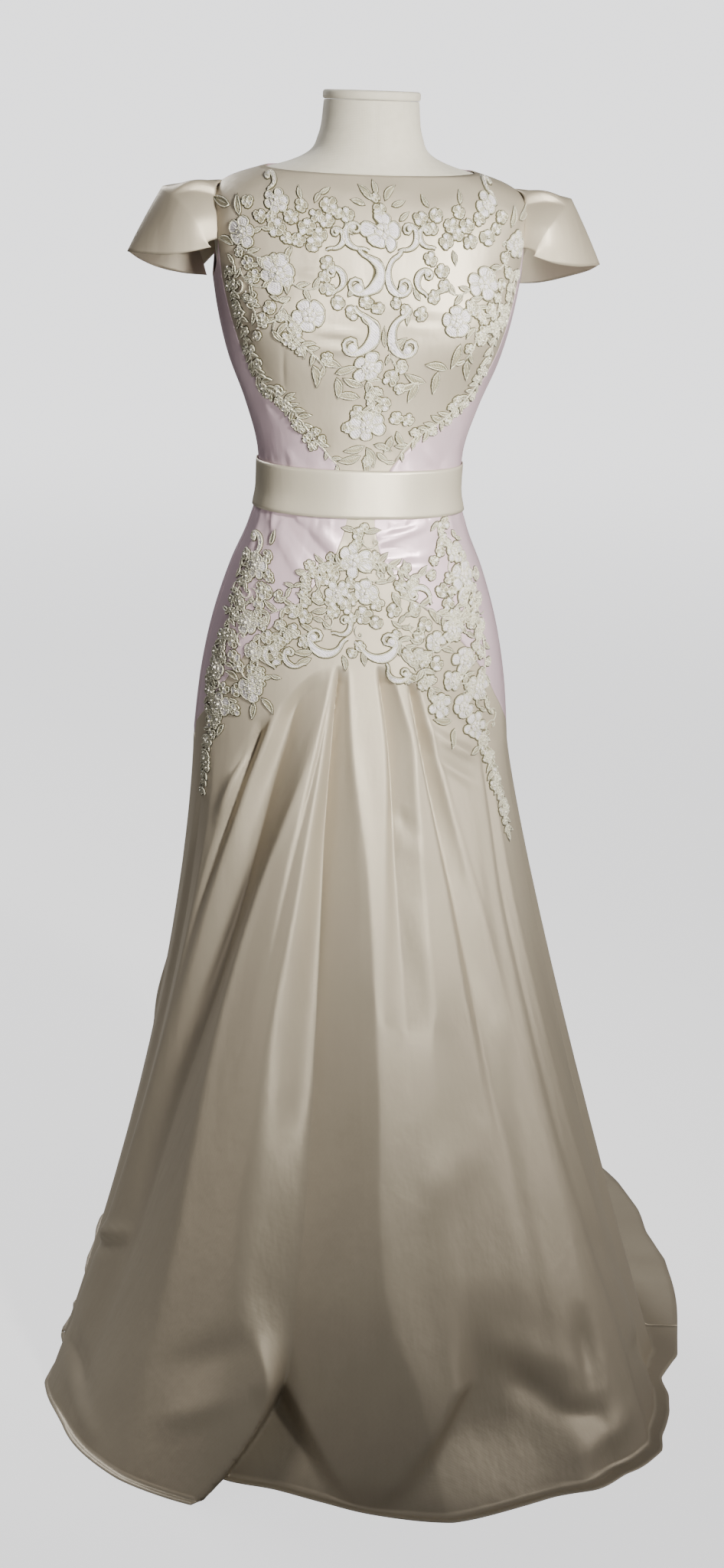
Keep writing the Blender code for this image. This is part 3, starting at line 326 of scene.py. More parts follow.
# name, valley angles, crest angles, depths in mm, width of the step in degrees
FOLDS = (
    ("left_edge", (-70, -70, -71, -72, -74, -75, -75), (-60, -60, -61, -62, -64, -65, -66),
     (0, 2, 6, 9, 12, 14, 14), 9.0),
    ("first_pleat", (-36, -46, -56, -60, -62, -64, -64), (-29, -40, -50, -54, -56, -58, -58),
     (14, 11, 3, 0, 0, 0, 0), 5.0),
    ("second_pleat", (-20.5, -30, -37, -47, -50, -51, -52), (-7, -14.5, -28.5, -35.5, -35, -35, -35.5),
     (14, 20, 24, 22, 18, 14, 8), (8, 12, 16, 16, 14, 13, 12)),
    ("fine_crease", (-7.5, -12, -19, -24, -26, -26, -26), (-4.5, -9, -15, -20, -22, -22, -22),
     (3, 4, 3, 0, 0, 0, 0), 2.5),
    ("middle_pleat", (-6.5, -8.5, -10, -10, -11.2, -12.6, -22.5), (-3.4, -2, 1.3, 2.9, 3.5, 8.0, 11.0),
     (11, 20, 30, 33, 28, 36, 66), (1.6, 2.6, 6.0, 12.0, 11.0, 2.2, 1.1)),
    ("fifth_pleat", (4.6, 8.2, 8.8, 9.8, 10.5, 10.5, 10.5), (9, 16, 16, 15, 16, 16, 16),
     (14, 18, 12, 3, 1, 0, 0), (1.2, 2.0, 3.5, 6.0, 6.0, 6.0, 6.0)),
    ("sixth_pleat", (15.5, 20.5, 26, 29, 31, 31, 31), (18.5, 26, 33, 38, 40, 40, 40),
     (15, 19, 13, 6, 3, 2, 0), 4.5),
    ("right_hollow", (40, 40, 39, 38, 38, 38, 38), (47, 47, 46, 46, 46, 46, 46), (0, 0, 2, 3, 6, 12, 16), 7.0),
    ("side_line", (48, 47.5, 45, 45, 48, 50, 50), (53, 52, 50, 50, 54, 56, 56), (0, 3, 4, 5, 5, 4, 4), 4.0),
    ("right_edge", (74, 73, 72, 69, 67, 67, 66), (81, 81, 80, 77, 75, 75, 74), (0, 2, 6, 10, 12, 12, 12), 6.0),
    ("back_left_far", (-96, -96, -95, -94, -92, -92, -92), (-90, -90, -89, -88, -86, -86, -86),
     (0, 2, 5, 8, 10, 10, 10), 6.0),
    ("back_left_outer", (-113, -112, -111, -110, -107, -106, -106), (-104, -104, -103, -101, -98, -97, -97),
     (0, 6, 13, 19, 24, 24, 24), 8.0),
    ("back_left_middle", (-134, -133, -131, -130, -127, -126, -126), (-128, -127, -125, -123, -120, -119, -119),
     (0, 3, 7, 10, 11, 11, 11), 6.0),
    ("back_left_inner", (-152, -151, -150, -148, -145, -144, -144), (-143, -142, -141, -139, -136, -135, -135),
     (0, 7, 15, 21, 26, 27, 28), 8.0),
    ("back_middle", (177, 176, 175, 174, 173, 173, 173), (169, 168, 167, 166, 165, 165, 165),
     (0, 2, 6, 10, 12, 12, 12), 7.0),
    ("back_right_inner", (150, 151, 151, 152, 154, 156, 156), (141, 142, 142, 143, 145, 147, 147),
     (0, 7, 15, 21, 26, 27, 28), 8.0),
    ("back_right_middle", (131, 132, 133, 134, 136, 137, 137), (125, 126, 127, 128, 130, 131, 131),
     (0, 3, 7, 10, 11, 11, 11), 6.0),
    ("back_right_outer", (114, 114, 114, 115, 116, 116, 116), (105, 105, 105, 106, 107, 107, 107),
     (0, 6, 13, 19, 24, 24, 24), 8.0),
)
# Soft dents and ridges: angle and share of the way down at both ends, width and rise in mm
SKIRT_CREASES = (
    (24.0, 0.850, 31.0, 0.900, 20, -6.5), (31.0, 0.900, 37.0, 0.912, 17, -5.5), (38.5, 0.790, 37.5, 0.860, 15, -6),
    (20.0, 0.800, 34.0, 0.845, 24, 3.5), (30.0, 0.950, 44.0, 0.925, 18, 3), (-76.0, 0.785, -54.0, 0.735, 9, 5),
    (-74.0, 0.800, -54.0, 0.752, 9, -4), (-31.0, 0.850, -16.0, 0.800, 22, -3.5), (-30.0, 0.905, -18.0, 0.860, 16, 3),
    (22.0, 0.052, 42.0, 0.036, 9, 4.5), (24.0, 0.082, 40.0, 0.075, 10, -3), (-44.0, 0.060, -52.0, 0.120, 13, 5),
    (-40.0, 0.020, -47.0, 0.055, 6, -4), (10.5, 0.185, 13.5, 0.192, 8, -4), (9.0, 0.210, 16.0, 0.228, 14, 2),
    (12.0, 0.640, 22.0, 0.560, 26, 4), (48.0, 0.700, 60.0, 0.800, 22, -5), (52.0, 0.880, 66.0, 0.930, 20, -7),
    (-66.0, 0.900, -50.0, 0.930, 18, -6), (-60.0, 0.940, -44.0, 0.965, 14, 5), (14.0, 0.300, 17.0, 0.420, 16, 3),
    (30.0, 0.300, 34.0, 0.440, 20, -3), (100.0, 0.720, 112.0, 0.800, 26, -8), (-104.0, 0.720, -116.0, 0.790, 24, -8),
    (142.0, 0.740, 160.0, 0.800, 28, -9), (-150.0, 0.740, -166.0, 0.800, 26, -9), (96.0, 0.400, 104.0, 0.520, 20, 5),
    (-98.0, 0.380, -106.0, 0.520, 20, 5), (120.0, 0.860, 136.0, 0.885, 22, 7), (-128.0, 0.850, -142.0, 0.880, 20, 7),
)
PLEAT_START = 0.022
TRAIN_FOLD_SHARE = 0.35
# The cloth breaks where it meets the floor in front: a wedge that points down, between two lit facets
WEDGE_TOP, WEDGE_TIP, WEDGE_MIDDLE, WEDGE_HALF_DEG, WEDGE_RISE = 0.855, 0.99, 0.0, 12.5, 0.008
FACET_DEPTH, FACET_SPAN_DEG = 0.020, 40.0
TRAIN_HEM_SHARE = 0.35


def fold_depth(angle, t):
    total = np.zeros(np.broadcast(angle, t).shape)
    for name, valley, crest, depth, step in FOLDS:
        low, high, deep = (smooth(t, FOLD_SHARES, row) for row in (valley, crest, depth))
        off = ((np.asarray(angle) - low + 180.0) % 360.0 - 180.0) * np.sign(high - low)
        wide = np.abs(high - low)
        rising = np.clip(1 - off / wide, 0, 1)
        rising = rising - 0.10 * np.exp(-(((off - wide) / (0.22 * wide)) ** 2))
        fall = smooth(t, FOLD_SHARES, step) if isinstance(step, tuple) else step * (0.45 + 0.55 * np.sqrt(t))
        falling = ramp(1 + off / fall, 0, 1)
        if name.startswith("back"):
            deep = deep * (1 - (1 - TRAIN_HEM_SHARE) * ramp(t, 0.80, 1.0))
        total = total + deep / 1000 * np.where(off > 0, rising, falling)
    return total * np.clip(np.asarray(t) / PLEAT_START, 0, 1)


def skirt_crease_rise(angle, t):
    scale = (0.15 + 0.35 * np.asarray(t)) * np.pi / 180
    rise = np.zeros(np.broadcast(angle, t).shape)
    for a1, t1, a2, t2, width, height in SKIRT_CREASES:
        middle = 0.15 + 0.35 * (t1 + t2) / 2
        scale = middle * math.pi / 180
        away, share = line_distance(np.asarray(angle) * scale, np.asarray(t) * 1.02,
                                    a1 * scale, t1 * 1.02, a2 * scale, t2 * 1.02)
        rise = rise + height / 1000 * share * np.exp(-((away * 1000 / width) ** 2))
    return rise


def wedge_rise(angle, t):
    """The steep face that ends in the wedge's tip, and the hollow facets on both sides of it."""
    down = np.clip((np.asarray(t) - WEDGE_TOP) / (WEDGE_TIP - WEDGE_TOP), 0, 1)
    half = np.maximum(WEDGE_HALF_DEG * (1 - down), 0.4)
    away = np.abs(angle - WEDGE_MIDDLE)
    valley = smooth(t, FOLD_SHARES, FOLDS[4][1])
    face = WEDGE_RISE * ramp(t, 0.35, 0.95) * (1 - ramp(t, 0.95, 1.0)) * (1 - ramp(away, half, half + 6))
    low = ramp(t, 0.72, 0.90) * (1 - ramp(t, 0.90, 1.0))
    beside = ramp(away, half, half + 5.5) * (1 - ramp(away, 18, FACET_SPAN_DEG)) * ramp(angle - valley, -0.5, 0.5)
    return face - FACET_DEPTH * low * beside


def pleat_line(angle):
    front = looked_up(np.abs(angle), PLEAT_LINE)
    behind = np.clip((np.abs(angle) - SIDE_SEAM_DEG) / (180.0 - SIDE_SEAM_DEG), 0, 1)
    return front + (SEAM_BACK - PLEAT_LINE[-1][1]) * behind


def skirt(angle, t, out=0.0):
    """The skirt's inner side, t from 0 at the pleat line to 1 at the hem, or that far outside it."""
    angle, t = np.broadcast_arrays(np.asarray(angle, float), np.clip(t, 0, 1))
    top_z = pleat_line(angle)
    top = worn(angle, top_z)
    landing, hem, flare = (looked_up(angle, HEM, place) for place in (1, 2, 3))
    fall = np.hypot(top_z, landing - 0.15)
    floor_t = fall / (fall + hem - landing)
    drop = np.clip(t / floor_t, 0, 1)
    lying = np.clip((t - floor_t) / np.maximum(1 - floor_t, 1e-6), 0, 1)
    away = np.stack([np.sin(np.radians(angle)), -np.cos(np.radians(angle))], axis=-1)
    start = top[..., :2]
    flat = start + (away * landing[..., None] - start) * (drop**flare)[..., None]
    flat = flat + away * ((hem - landing) * lying)[..., None]
    inward = fold_depth(angle, t)
    raised = (skirt_crease_rise(angle, t) + wedge_rise(angle, t)) * np.clip(t / PLEAT_START, 0, 1)
    flat = flat + away * (raised - inward + out)[..., None]
    train = np.clip((hem - landing - 0.03) / 0.08, 0, 1)
    stand = TRAIN_FOLD_SHARE * np.abs(inward - raised) * train * np.clip((1 - t) / 0.10, 0, 1) * drop**4
    z = top_z * (1 - drop) + stand + out * lying
    return np.concatenate([flat, z[..., None]], axis=-1)


print("folds of the skirt:", len(FOLDS), "and soft creases:", len(SKIRT_CREASES))

# %% [markdown]
# ## Materials
# Duchess satin is woven so that long threads float on its face: it is smooth, with soft highlights
# that stretch across the threads. Its threads are about 0.15 mm apart, too fine for the picture, so
# the weave is drawn at 0.9 mm. The mauve pieces are a lighter, glossier satin. The belt is the cream
# satin in a lighter colour, which is a painted highlight. The lace is padded rayon stitching edged with
# a thin metallic cord and small glass beads. The dark bands along its threads are painted shade, and
# the dark rim round each motif is a painted shadow on the cloth.

# %% Colours and nodes
def linear(code):
    """An sRGB hex colour as Blender's linear one."""
    parts = [int(code[i:i + 2], 16) / 255 for i in (1, 3, 5)]
    return tuple(v / 12.92 if v <= 0.04045 else ((v + 0.055) / 1.055) ** 2.4 for v in parts) + (1.0,)


def add(tree, kind, settings=(), **inputs):
    """Adds a node. Settings are its own properties; inputs are links or constants, by socket name."""
    node = tree.nodes.new(kind)
    for name, value in dict(settings).items():
        setattr(node, name, value)
    for name, value in inputs.items():
        socket = node.inputs[int(name[1:])] if name[0] == "n" and name[1:].isdigit() else node.inputs[name.replace("_", " ")]
        if isinstance(value, bpy.types.NodeSocket):
            tree.links.new(value, socket)
        else:
            socket.default_value = value
    return node


def new_material(name, **constants):
    made = bpy.data.materials.new(name)
    made.use_nodes = True
    tree = made.node_tree
    shader = tree.nodes["Principled BSDF"]
    for key, value in constants.items():
        shader.inputs[key.replace("_", " ")].default_value = value
    return made, tree, shader


THREAD_DRAWN = 0.0009     # real threads are 0.15 mm apart
WAVES_TO_SCALE = 0.314    # a wave texture of scale s repeats every 0.314 / s metres


def woven(tree, place, pitch, strength_noise=0.4):
    """Height of a fine weave: warp threads and weft threads, a little uneven."""
    warp = add(tree, "ShaderNodeTexWave", {"bands_direction": "X"}, Vector=place,
               Scale=WAVES_TO_SCALE / pitch, Distortion=strength_noise, Detail_Scale=2.0)
    weft = add(tree, "ShaderNodeTexWave", {"bands_direction": "Z"}, Vector=place,
               Scale=WAVES_TO_SCALE / pitch, Distortion=strength_noise, Detail_Scale=2.0)
    return add(tree, "ShaderNodeMath", {"operation": "ADD"}, n0=warp.outputs["Fac"], n1=weft.outputs["Fac"])


def satin(name, light, dark, roughness, sheen, crumple):
    made, tree, shader = new_material(name, Roughness=roughness, IOR=1.50, Sheen_Weight=sheen,
                                      Sheen_Roughness=0.35, Anisotropic=0.45, Metallic=0.40,
                                      Specular_Tint=(0.62, 0.62, 0.62, 1.0))
    place = add(tree, "ShaderNodeTexCoord").outputs["Object"]
    tangent = add(tree, "ShaderNodeTangent", {"direction_type": "RADIAL", "axis": "Z"})
    tree.links.new(tangent.outputs[0], shader.inputs["Tangent"])
    hanging = add(tree, "ShaderNodeMapping", {"vector_type": "POINT"}, Vector=place, Scale=(1.0, 1.0, 0.22))
    tone = add(tree, "ShaderNodeTexNoise", Vector=hanging.outputs[0], Scale=9.0, Detail=4.0, Roughness=0.55)
    colour = add(tree, "ShaderNodeMix", {"data_type": "RGBA"}, n0=tone.outputs["Fac"],
                 n6=linear(dark), n7=linear(light))
    tree.links.new(colour.outputs[2], shader.inputs["Base Color"])
    gloss = add(tree, "ShaderNodeMapRange", Value=tone.outputs["Fac"], From_Min=0.3, From_Max=0.7,
                To_Min=roughness - 0.05, To_Max=roughness + 0.07)
    tree.links.new(gloss.outputs[0], shader.inputs["Roughness"])
    drape = add(tree, "ShaderNodeTexNoise", Vector=hanging.outputs[0], Scale=26.0, Detail=3.0, Roughness=0.5)
    soft = add(tree, "ShaderNodeBump", Strength=0.5, Distance=crumple, Height=drape.outputs["Fac"])
    crush = add(tree, "ShaderNodeTexNoise", Vector=place, Scale=75.0, Detail=4.0, Roughness=0.6)
    crushed = add(tree, "ShaderNodeBump", Strength=0.35, Distance=0.0006, Height=crush.outputs["Fac"],
                  Normal=soft.outputs[0])
    weave = add(tree, "ShaderNodeBump", Strength=0.25, Distance=0.00012,
                Height=woven(tree, place, THREAD_DRAWN).outputs[0], Normal=crushed.outputs[0])
    tree.links.new(weave.outputs[0], shader.inputs["Normal"])
    return made


CREAM_SATIN = satin("cream_duchess_satin_woven", "#B9AF9D", "#A89E8C", 0.44, 0.0, 0.0035)
MAUVE_SATIN = satin("mauve_satin_woven", "#DCC5CF", "#C7AFBA", 0.34, 0.0, 0.0045)
# The belt is the same cream satin made lighter and glossier: its lighter colour is a painted highlight
BELT_SATIN_PAINTED_HIGHLIGHT = satin("cream_belt_satin_painted_highlight", "#CDC5B3", "#BDB5A2", 0.36, 0.0, 0.0015)
print("satins:", CREAM_SATIN.name, MAUVE_SATIN.name, BELT_SATIN_PAINTED_HIGHLIGHT.name)


# %% Lace, form cover and stand
def stitched(name, light, dark, pitch, roughness, relief, metallic=0.0, shade=0.0):
    """Threads laid side by side, as in padded satin stitch or a twisted cord. Their colour darkens in bands along the
    threads: painted shade of the thread relief.
    """
    made, tree, shader = new_material(name, Roughness=roughness, IOR=1.50, Sheen_Weight=0.3,
                                      Metallic=metallic)
    place = add(tree, "ShaderNodeTexCoord").outputs["Object"]
    threads = add(tree, "ShaderNodeTexWave", {"bands_direction": "DIAGONAL"}, Vector=place,
                  Scale=WAVES_TO_SCALE / pitch, Distortion=3.0, Detail_Scale=1.5)
    tone = add(tree, "ShaderNodeTexNoise", Vector=place, Scale=140.0, Detail=2.0)
    # The dark colour, laid in bands along the threads, is painted shade of the thread relief
    both = add(tree, "ShaderNodeMath", {"operation": "MULTIPLY"}, n0=threads.outputs["Fac"],
               n1=add(tree, "ShaderNodeMapRange", Value=tone.outputs["Fac"], To_Min=shade, To_Max=1.0).outputs[0])
    colour = add(tree, "ShaderNodeMix", {"data_type": "RGBA"}, n0=both.outputs[0], n6=linear(light), n7=linear(dark))
    tree.links.new(colour.outputs[2], shader.inputs["Base Color"])
    raised = add(tree, "ShaderNodeBump", Strength=0.6, Distance=relief, Height=threads.outputs["Fac"])
    tree.links.new(raised.outputs[0], shader.inputs["Normal"])
    return made


RAYON = stitched("rayon_thread_embroidered", "#E2DDE3", "#7A7280", 0.0016, 0.45, 0.00045)
CREAM_RAYON = stitched("rayon_thread_cream", "#99937A", "#5E583F", 0.0016, 0.42, 0.00045)
# The cord's pale and dark colours are a painted highlight and a painted shade of its twist
CORD = stitched("metallic_cord_twisted", "#E0DCC6", "#504A2E", 0.0013, 0.32, 0.00055, 0.15, 0.30)
# A dark rim round every pad and scroll: a painted shadow of the raised lace on the cloth, not a net
MOTIF_SHADOW_RIM = stitched("motif_rim_painted_shadow", "#565033", "#302C1B", 0.0011, 0.80, 0.0003)
BEAD, bead_tree, bead_shader = new_material("glass_bead_pearled", Roughness=0.12, IOR=1.52, Coat_Weight=0.6,
                                            Coat_Roughness=0.05)
bead_place = add(bead_tree, "ShaderNodeTexCoord").outputs["Object"]
bead_tone = add(bead_tree, "ShaderNodeTexNoise", Vector=bead_place, Scale=60.0)
bead_mix = add(bead_tree, "ShaderNodeMix", {"data_type": "RGBA"}, n0=bead_tone.outputs["Fac"],
               n6=linear("#F5F2EA"), n7=linear("#D8D2BE"))
bead_tree.links.new(bead_mix.outputs[2], bead_shader.inputs["Base Color"])


def plain_weave(name, light, dark, pitch):
    """The form's cotton cover: a flat plain weave with a little slub."""
    made, tree, shader = new_material(name, Roughness=0.82, IOR=1.46, Sheen_Weight=0.2)
    place = add(tree, "ShaderNodeTexCoord").outputs["Object"]
    slub = add(tree, "ShaderNodeTexNoise", Vector=place, Scale=110.0, Detail=3.0)
    colour = add(tree, "ShaderNodeMix", {"data_type": "RGBA"}, n0=slub.outputs["Fac"], n6=linear(light), n7=linear(dark))
    tree.links.new(colour.outputs[2], shader.inputs["Base Color"])
    threads = add(tree, "ShaderNodeBump", Strength=0.4, Distance=0.0002,
                  Height=woven(tree, place, pitch).outputs[0])
    tree.links.new(threads.outputs[0], shader.inputs["Normal"])
    return made


COVER = plain_weave("cotton_jersey_woven", "#D2CDBE", "#C6C0AF", 0.0012)
STEEL, steel_tree, steel_shader = new_material("steel_powder_coated", Metallic=0.0, Roughness=0.5, IOR=1.5)
steel_place = add(steel_tree, "ShaderNodeTexCoord").outputs["Object"]
grit = add(steel_tree, "ShaderNodeTexNoise", Vector=steel_place, Scale=900.0, Detail=2.0)
steel_mix = add(steel_tree, "ShaderNodeMix", {"data_type": "RGBA"}, n0=grit.outputs["Fac"],
                n6=linear("#1C1C1E"), n7=linear("#2B2B2E"))
steel_bump = add(steel_tree, "ShaderNodeBump", Strength=0.3, Distance=0.0001, Height=grit.outputs["Fac"])
steel_tree.links.new(steel_mix.outputs[2], steel_shader.inputs["Base Color"])
steel_tree.links.new(steel_bump.outputs[0], steel_shader.inputs["Normal"])
for node_name in ("form_flange", "stand_pole", "stand_base"):
    for slot_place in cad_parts[node_name].material_slots:
        slot_place.material = STEEL
print("materials:", [m.name for m in bpy.data.materials if m.users])


# %% [markdown]
# ## One function for every sewn piece
# A sewn piece is a sheet. We lay a grid of points on the surface, join them, and let the Solidify
# modifier give the cloth its thickness. The outermost points dip a little, because a seam pulls its
# edges in: that is what makes a seam show as a soft line and not as a crack.

# %% Sheets from grids
SEAM_DIP = 0.0005


def dipped(grid, edges):
    """Draws the named edges in, along the surface's own normal."""
    along = np.gradient(grid, axis=1)
    up = np.gradient(grid, axis=0)
    normal = unit(np.cross(along, up))
    outward = grid[..., :2] - np.array([0.0, 0.0])
    flip = np.sign(np.sum(normal[..., :2] * outward, axis=-1).mean())
    grid = grid.copy()
    places = {"low": (0, slice(None)), "high": (-1, slice(None)), "first": (slice(None), 0), "last": (slice(None), -1)}
    for edge in edges:
        grid[places[edge]] -= normal[places[edge]] * flip * SEAM_DIP
    return grid


def mesh_object(name, points, faces, materials, places=None):
    mesh = bpy.data.meshes.new(name)
    mesh.from_pydata([tuple(p) for p in points], [], faces)
    for item in materials:
        mesh.materials.append(item)
    if places is not None:
        mesh.polygons.foreach_set("material_index", places)
    mesh.shade_smooth()
    mesh.update()
    obj = bpy.data.objects.new(name, mesh)
    bpy.context.scene.collection.objects.link(obj)
    return obj


def sewn(name, grid, cloth, node, inside, edges=(), thickness=CLOTH_SHELL, share=None):
    """A cloth piece from its grid of inner points: thickened and put on the frame."""
    grid = dipped(grid, edges)
    rows, columns = grid.shape[:2]
    faces = [
        (r * columns + c, r * columns + c + 1, (r + 1) * columns + c + 1, (r + 1) * columns + c)
        for r in range(rows - 1) for c in range(columns - 1)
    ]
    obj = mesh_object(name, grid.reshape(-1, 3), faces, [cloth])
    middle = obj.data.polygons[len(faces) // 2]
    if (middle.center - Vector(inside)).dot(middle.normal) < 0:
        obj.data.flip_normals()
    wall = obj.modifiers.new("Cloth", "SOLIDIFY")
    wall.thickness = thickness
    wall.offset = 1.0
    wide = np.linalg.norm(np.diff(grid, axis=1), axis=-1).sum(axis=1).max()
    long = np.linalg.norm(np.diff(grid, axis=0), axis=-1).sum(axis=0).max()
    area = sum(p.area for p in obj.data.polygons)
    area = min(max(area, 0.31 * wide * long), wide * long)
    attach(obj, "root")
    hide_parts(node)
    print(f"{name}: cut {wide * 1000:.0f} x {long * 1000:.0f} mm, {area:.3f} m2, {len(faces)} faces")
    return obj


# %% [markdown]
# ## The dress form
# The form is a padded torso without limbs under a cotton cover, with a flat cap on its neck. Only the
# neck shows. It is one smooth closed shape through the figure's sections, a little slimmer than the
# dress, with the cover's side and centre seams drawn in.

# %% Form cover and neck cap
FORM_SEAM_DEPTH = 0.0007


def form_cover():
    angles = np.arange(0, 360, 3.0)
    levels = np.concatenate([np.linspace(FORM_BOTTOM, 1.44, 50), np.linspace(1.443, NECK_TOP - 0.002, 44)])
    rings = []
    for z in levels:
        slim = float(looked_up(z, FORM_SLIMMER))
        seams = sum(np.exp(-(((angles - place + 180) % 360 - 180) / 1.6) ** 2) for place in (0, 90, 180, 270))
        out = -slim - FORM_SEAM_DEPTH * seams
        rings.append(section(angles - 180, z) + section_normal(angles - 180, z) * out[..., None] * np.array((1, 1, 0)))
    rings.append(section(angles - 180, NECK_TOP - 0.0004) * np.array((0.985, 0.985, 1)))
    rings.append(section(angles - 180, NECK_TOP) * np.array((0.95, 0.95, 1)))
    count = len(angles)
    faces = [(r * count + i, r * count + (i + 1) % count, (r + 1) * count + (i + 1) % count, (r + 1) * count + i)
             for r in range(len(rings) - 1) for i in range(count)]
    faces += [tuple(reversed(range(count))), tuple(range((len(rings) - 1) * count, len(rings) * count))]
    obj = mesh_object("form_cover", np.concatenate(rings), faces, [COVER])
    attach(obj, "root")
    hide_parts("form_torso")
    return obj


CAP_RADIUS, CAP_HEIGHT = 0.0570, 0.0110
CAP_PROFILE = ((0.0, 0.0), (0.965, 0.0), (0.99, 0.10), (1.0, 0.25), (1.0, 0.72), (0.985, 0.88), (0.955, 0.965),
               (0.90, 1.0), (0.40, 1.02), (0.0, 1.03))


def neck_cap():
    """A turned cap with a rounded rim, slightly domed: a profile spun round the neck's axis."""
    count = 96
    spins = np.arange(count) * 2 * math.pi / count
    rings = [[(CAP_RADIUS * r * math.cos(a), CAP_RADIUS * r * math.sin(a), NECK_TOP + 0.0003 + CAP_HEIGHT * h / 1.03)
              for a in spins] for r, h in CAP_PROFILE[1:-1]]
    faces = [(r * count + i, r * count + (i + 1) % count, (r + 1) * count + (i + 1) % count, (r + 1) * count + i)
             for r in range(len(rings) - 1) for i in range(count)]
    faces += [tuple(reversed(range(count))), tuple(range((len(rings) - 1) * count, len(rings) * count))]
    obj = mesh_object("neck_cap", [p for ring in rings for p in ring], faces, [COVER])
    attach(obj, "root")
    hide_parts("form_neck_cap")
    return obj


form_cover()
neck_cap()
print("form and cap made")


# %% [markdown]
# ## Bodice
# The cream front is one piece with a wide neckline and a V-shaped lower edge. The mauve side pieces
# fill in below the V and run under the armholes, and two mauve backs meet at the centre back, where
# a concealed zip leaves only a seam to see.

# %% Edges of the bodice pieces
def gap_deg(z):
    return np.degrees(SEAM_GAP / 2 / figure(z, "half_width"))


def armhole_reach(z):
    off = np.clip((np.asarray(z, float) - ARMHOLE_MIDDLE) / ARMHOLE_HALF_HEIGHT, -1, 1)
    return ARMHOLE_HALF_DEG * np.sqrt(1 - off**2)


def bodice_edge(z):
    beside = 90.0 - armhole_reach(z)
    return np.where(np.asarray(z) > ARMHOLE_MIDDLE, beside, np.minimum(looked_up(z, BODICE_EDGE), beside))


def bodice_front():
    levels = np.concatenate([np.linspace(1.1103, 1.3530, 70), np.linspace(1.3560, NECK_SIDE, 46)])[:, None]
    share = np.linspace(-1, 1, 121)[None, :]
    raised = np.clip((levels - 1.4040) / (NECK_SIDE - 1.4040), 0, 1)
    z = levels - raised * (NECK_SIDE - NECK_FRONT) * (1 - share**2)
    edge = bodice_edge(levels) - gap_deg(levels)
    grid = worn(share * edge, z, CLOTH - CLOTH_SHELL)
    return sewn("bodice_front_panel", grid, CREAM_SATIN, "bodice_front", (0, 0, 1.3),
                ("low", "first", "last"))


def bodice_side(end, side):
    levels = np.linspace(1.1103, 1.4040, 78)[:, None]
    shares = np.linspace(0, 1, 34)[None, :]
    top = ARMHOLE_MIDDLE - ARMHOLE_HALF_HEIGHT * np.sqrt(1 - (1 - shares) ** 2)
    z = levels[0] + (levels - levels[0]) * (np.minimum(top, 1.4040) - levels[0]) / (1.4040 - levels[0])
    edge = bodice_edge(z) + gap_deg(z)
    angle = edge + (90.0 - gap_deg(z) - edge) * shares
    grid = worn(side * angle, z, CLOTH - CLOTH_SHELL)
    return sewn(f"bodice_side_{end}_panel", grid, MAUVE_SATIN, f"bodice_side_{end}", (0, 0, 1.2),
                ("low", "first", "last"))


def bodice_back(end, side):
    z = np.concatenate([np.linspace(1.1103, 1.3530, 60), np.linspace(1.3570, NECK_SIDE, 40)])[:, None]
    shares = np.linspace(0, 1, 62)[None, :]
    outer = 90.0 + armhole_reach(z) + gap_deg(z)
    angle = outer + (180.0 - gap_deg(z) - outer) * shares
    grid = worn(side * angle, z + 0 * shares, CLOTH - CLOTH_SHELL)
    return sewn(f"bodice_back_{end}_panel", grid, MAUVE_SATIN, f"bodice_back_{end}", (0, 0, 1.3),
                ("low", "first", "last"))


# %% [markdown]
# ## Sleeves
# A cap sleeve covers only the top of the shoulder. It is stiff: the cloth stands straight out from
# the armhole seam to a crown line, then turns down to an open hem. One flat pleat lies along its top.

# %% Sleeves
SLEEVE_COLUMNS = ("round", "crown_x", "crown_y", "crown_z", "hem_x", "hem_y", "hem_z")
SLEEVE = (
    (-10.0, 0.1900, -0.0610, 1.3930, 0.1870, -0.0620, 1.3880), (12.0, 0.2060, -0.0580, 1.4180, 0.2130, -0.0600, 1.3805),
    (38.0, 0.2230, -0.0430, 1.4380, 0.2380, -0.0500, 1.3765), (66.0, 0.2360, -0.0210, 1.4490, 0.2640, -0.0280, 1.3760),
    (90.0, 0.2400, 0.0000, 1.4510, 0.2790, 0.0000, 1.3760), (114.0, 0.2360, 0.0210, 1.4470, 0.2680, 0.0270, 1.3660),
    (142.0, 0.2230, 0.0430, 1.4290, 0.2440, 0.0470, 1.3560), (175.0, 0.2060, 0.0570, 1.4000, 0.2150, 0.0590, 1.3490),
    (215.0, 0.1890, 0.0620, 1.3600, 0.1850, 0.0620, 1.3470),
)
SLEEVE_IN_ARMHOLE = 1.0
PLEAT_PLACE, PLEAT_RISE = 0.300, 0.0085


